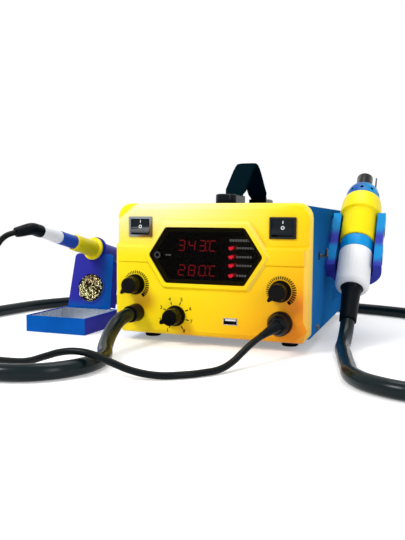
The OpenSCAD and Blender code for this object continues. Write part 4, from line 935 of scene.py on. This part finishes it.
# Iron boot: its line past the handle's end, and its girth at each point
HEAD_UP, IRON_YAW, HANDLE_END = 71.5, math.radians(6), 99.6
AT_IRON = (Matrix.Translation(AT_PLATE @ (Vector((0, HEAD_UP, 0)) * MM))
           @ Matrix.Rotation(-IRON_YAW, 4, "Z") @ Matrix.Rotation(math.radians(90) - LEAN, 4, "X"))
BOOT_ROUTE = [(0, 0, 0), (0, 0, 1), (0, 0, 4), (0, 0, 8), (0, 0, 12), (-0.5, -0.8, 16), (-1.6, -2.4, 20),
              (-3, -4.4, 24), (-4.3, -6.3, 28), (-5.3, -7.7, 31.4), (-5.5, -8, 32)]
BOOT_GIRTH = [12.4, 13.6, 13.6, 13.4, 13.2, 12.9, 12.5, 11.9, 11.2, 10.2, 8.6]


def make_iron_boot():
    """The iron's bent boot as one smooth skin."""
    data = bpy.data.curves.new("iron_boot_skin", "CURVE")
    data.dimensions = "3D"
    data.bevel_depth = MM / 2  # so that a point's radius is its girth in millimetres
    data.bevel_resolution = 10
    data.resolution_u = 8
    data.use_fill_caps = True
    spline = data.splines.new("BEZIER")
    spline.bezier_points.add(len(BOOT_ROUTE) - 1)
    for p, g, b in zip(BOOT_ROUTE, BOOT_GIRTH, spline.bezier_points):
        b.co = AT_IRON @ ((Vector(p) + Vector((0, 0, HANDLE_END))) * MM)
        b.radius = g
        b.handle_left_type = b.handle_right_type = "AUTO"
    boot = add_object("iron_boot_skin", data, "station", FINISH["boot_black"])
    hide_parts("iron_boot")


make_iron_boot()


# Floor and light
FLOOR_SIZE, FLOOR_DROP = 6, 0.2 * MM
WHITE_OUT = (0.3, 0.75)  # metres from the middle over which the floor turns plain white
FLOOR_LIFT = 0.3  # lightens the shadow on the floor where rays see it directly
WORLD_LIGHT = 0.5
# Lamps: name, place, aim, size, watts
LAMPS = [("key", (-0.75, -1.0, 1.1), (0, 0.05, 0.08), (0.5, 0.5), 15.2),
         ("fill", (1.1, -0.8, 0.6), (0.05, 0.1, 0.08), (0.35, 0.9), 5),
         ("top", (0.1, 0.3, 1.5), (0, 0.1, 0.1), (1.0, 0.7), 8)]


def seen_directly(tree):
    """1 for rays from the camera, and for those that metal and glass send back or pass on."""
    path = tree.nodes.new("ShaderNodeLightPath")
    seen = math_node(tree, "MAXIMUM", path.outputs["Is Camera Ray"], path.outputs["Is Glossy Ray"])
    return math_node(tree, "MAXIMUM", seen, path.outputs["Is Transmission Ray"])


def floor_finish():
    """White that keeps the object's shadow near it and turns to plain white further out."""
    m = surface("floor_white", (0.86, 0.86, 0.86), rough=0.8, mottle=0.005, specular=0.1)
    tree = m.node_tree
    links = tree.links
    x, y, _ = place_xyz(tree)
    far = distance(tree, x, y, 0.0, 0.0)
    white = tree.nodes.new("ShaderNodeEmission")
    white.inputs["Color"].default_value = (1, 1, 1, 1)
    white.inputs["Strength"].default_value = 1.0
    seen = seen_directly(tree)
    mix = tree.nodes.new("ShaderNodeMixShader")
    links.new(math_node(tree, "MULTIPLY", seen, fade(tree, far, *WHITE_OUT)), mix.inputs[0])
    bsdf = tree.nodes["Principled BSDF"]
    bsdf.inputs["Emission Color"].default_value = (1, 1, 1, 1)
    links.new(math_node(tree, "MULTIPLY", seen, FLOOR_LIFT), bsdf.inputs["Emission Strength"])
    links.new(bsdf.outputs["BSDF"], mix.inputs[1])
    links.new(white.outputs["Emission"], mix.inputs[2])
    links.new(mix.outputs["Shader"], tree.nodes["Material Output"].inputs["Surface"])
    return m


def make_floor():
    mesh = bpy.data.meshes.new("floor")
    s, z = FLOOR_SIZE, -FLOOR_DROP
    mesh.from_pydata([(-s, -s, z), (s, -s, z), (s, s, z), (-s, s, z)], [], [[0, 1, 2, 3]])
    floor = bpy.data.objects.new("floor", mesh)
    bpy.context.scene.collection.objects.link(floor)
    mesh.materials.append(floor_finish())


def add_lamp(name, at, aim, size, power):
    data = bpy.data.lights.new(name, "AREA")
    data.shape = "RECTANGLE"
    data.size, data.size_y = size
    data.energy = power
    obj = bpy.data.objects.new(name, data)
    obj.location = at
    obj.rotation_mode = "QUATERNION"
    obj.rotation_quaternion = (Vector(aim) - Vector(at)).to_track_quat("-Z", "Y")
    bpy.context.scene.collection.objects.link(obj)


def make_light():
    world = bpy.data.worlds.new("studio")
    world.use_nodes = True
    tree = world.node_tree
    lit = tree.nodes["Background"]
    lit.inputs["Color"].default_value = (1, 1, 1, 1)
    lit.inputs["Strength"].default_value = WORLD_LIGHT
    seen = tree.nodes.new("ShaderNodeBackground")
    seen.inputs["Color"].default_value = (1, 1, 1, 1)
    seen.inputs["Strength"].default_value = 1.0
    mix = tree.nodes.new("ShaderNodeMixShader")
    tree.links.new(seen_directly(tree), mix.inputs[0])
    tree.links.new(lit.outputs["Background"], mix.inputs[1])
    tree.links.new(seen.outputs["Background"], mix.inputs[2])
    tree.links.new(mix.outputs["Shader"], tree.nodes["World Output"].inputs["Surface"])
    bpy.context.scene.world = world
    for lamp in LAMPS:
        add_lamp(*lamp)
    bpy.context.scene.view_settings.view_transform = "Standard"


make_floor()
make_light()
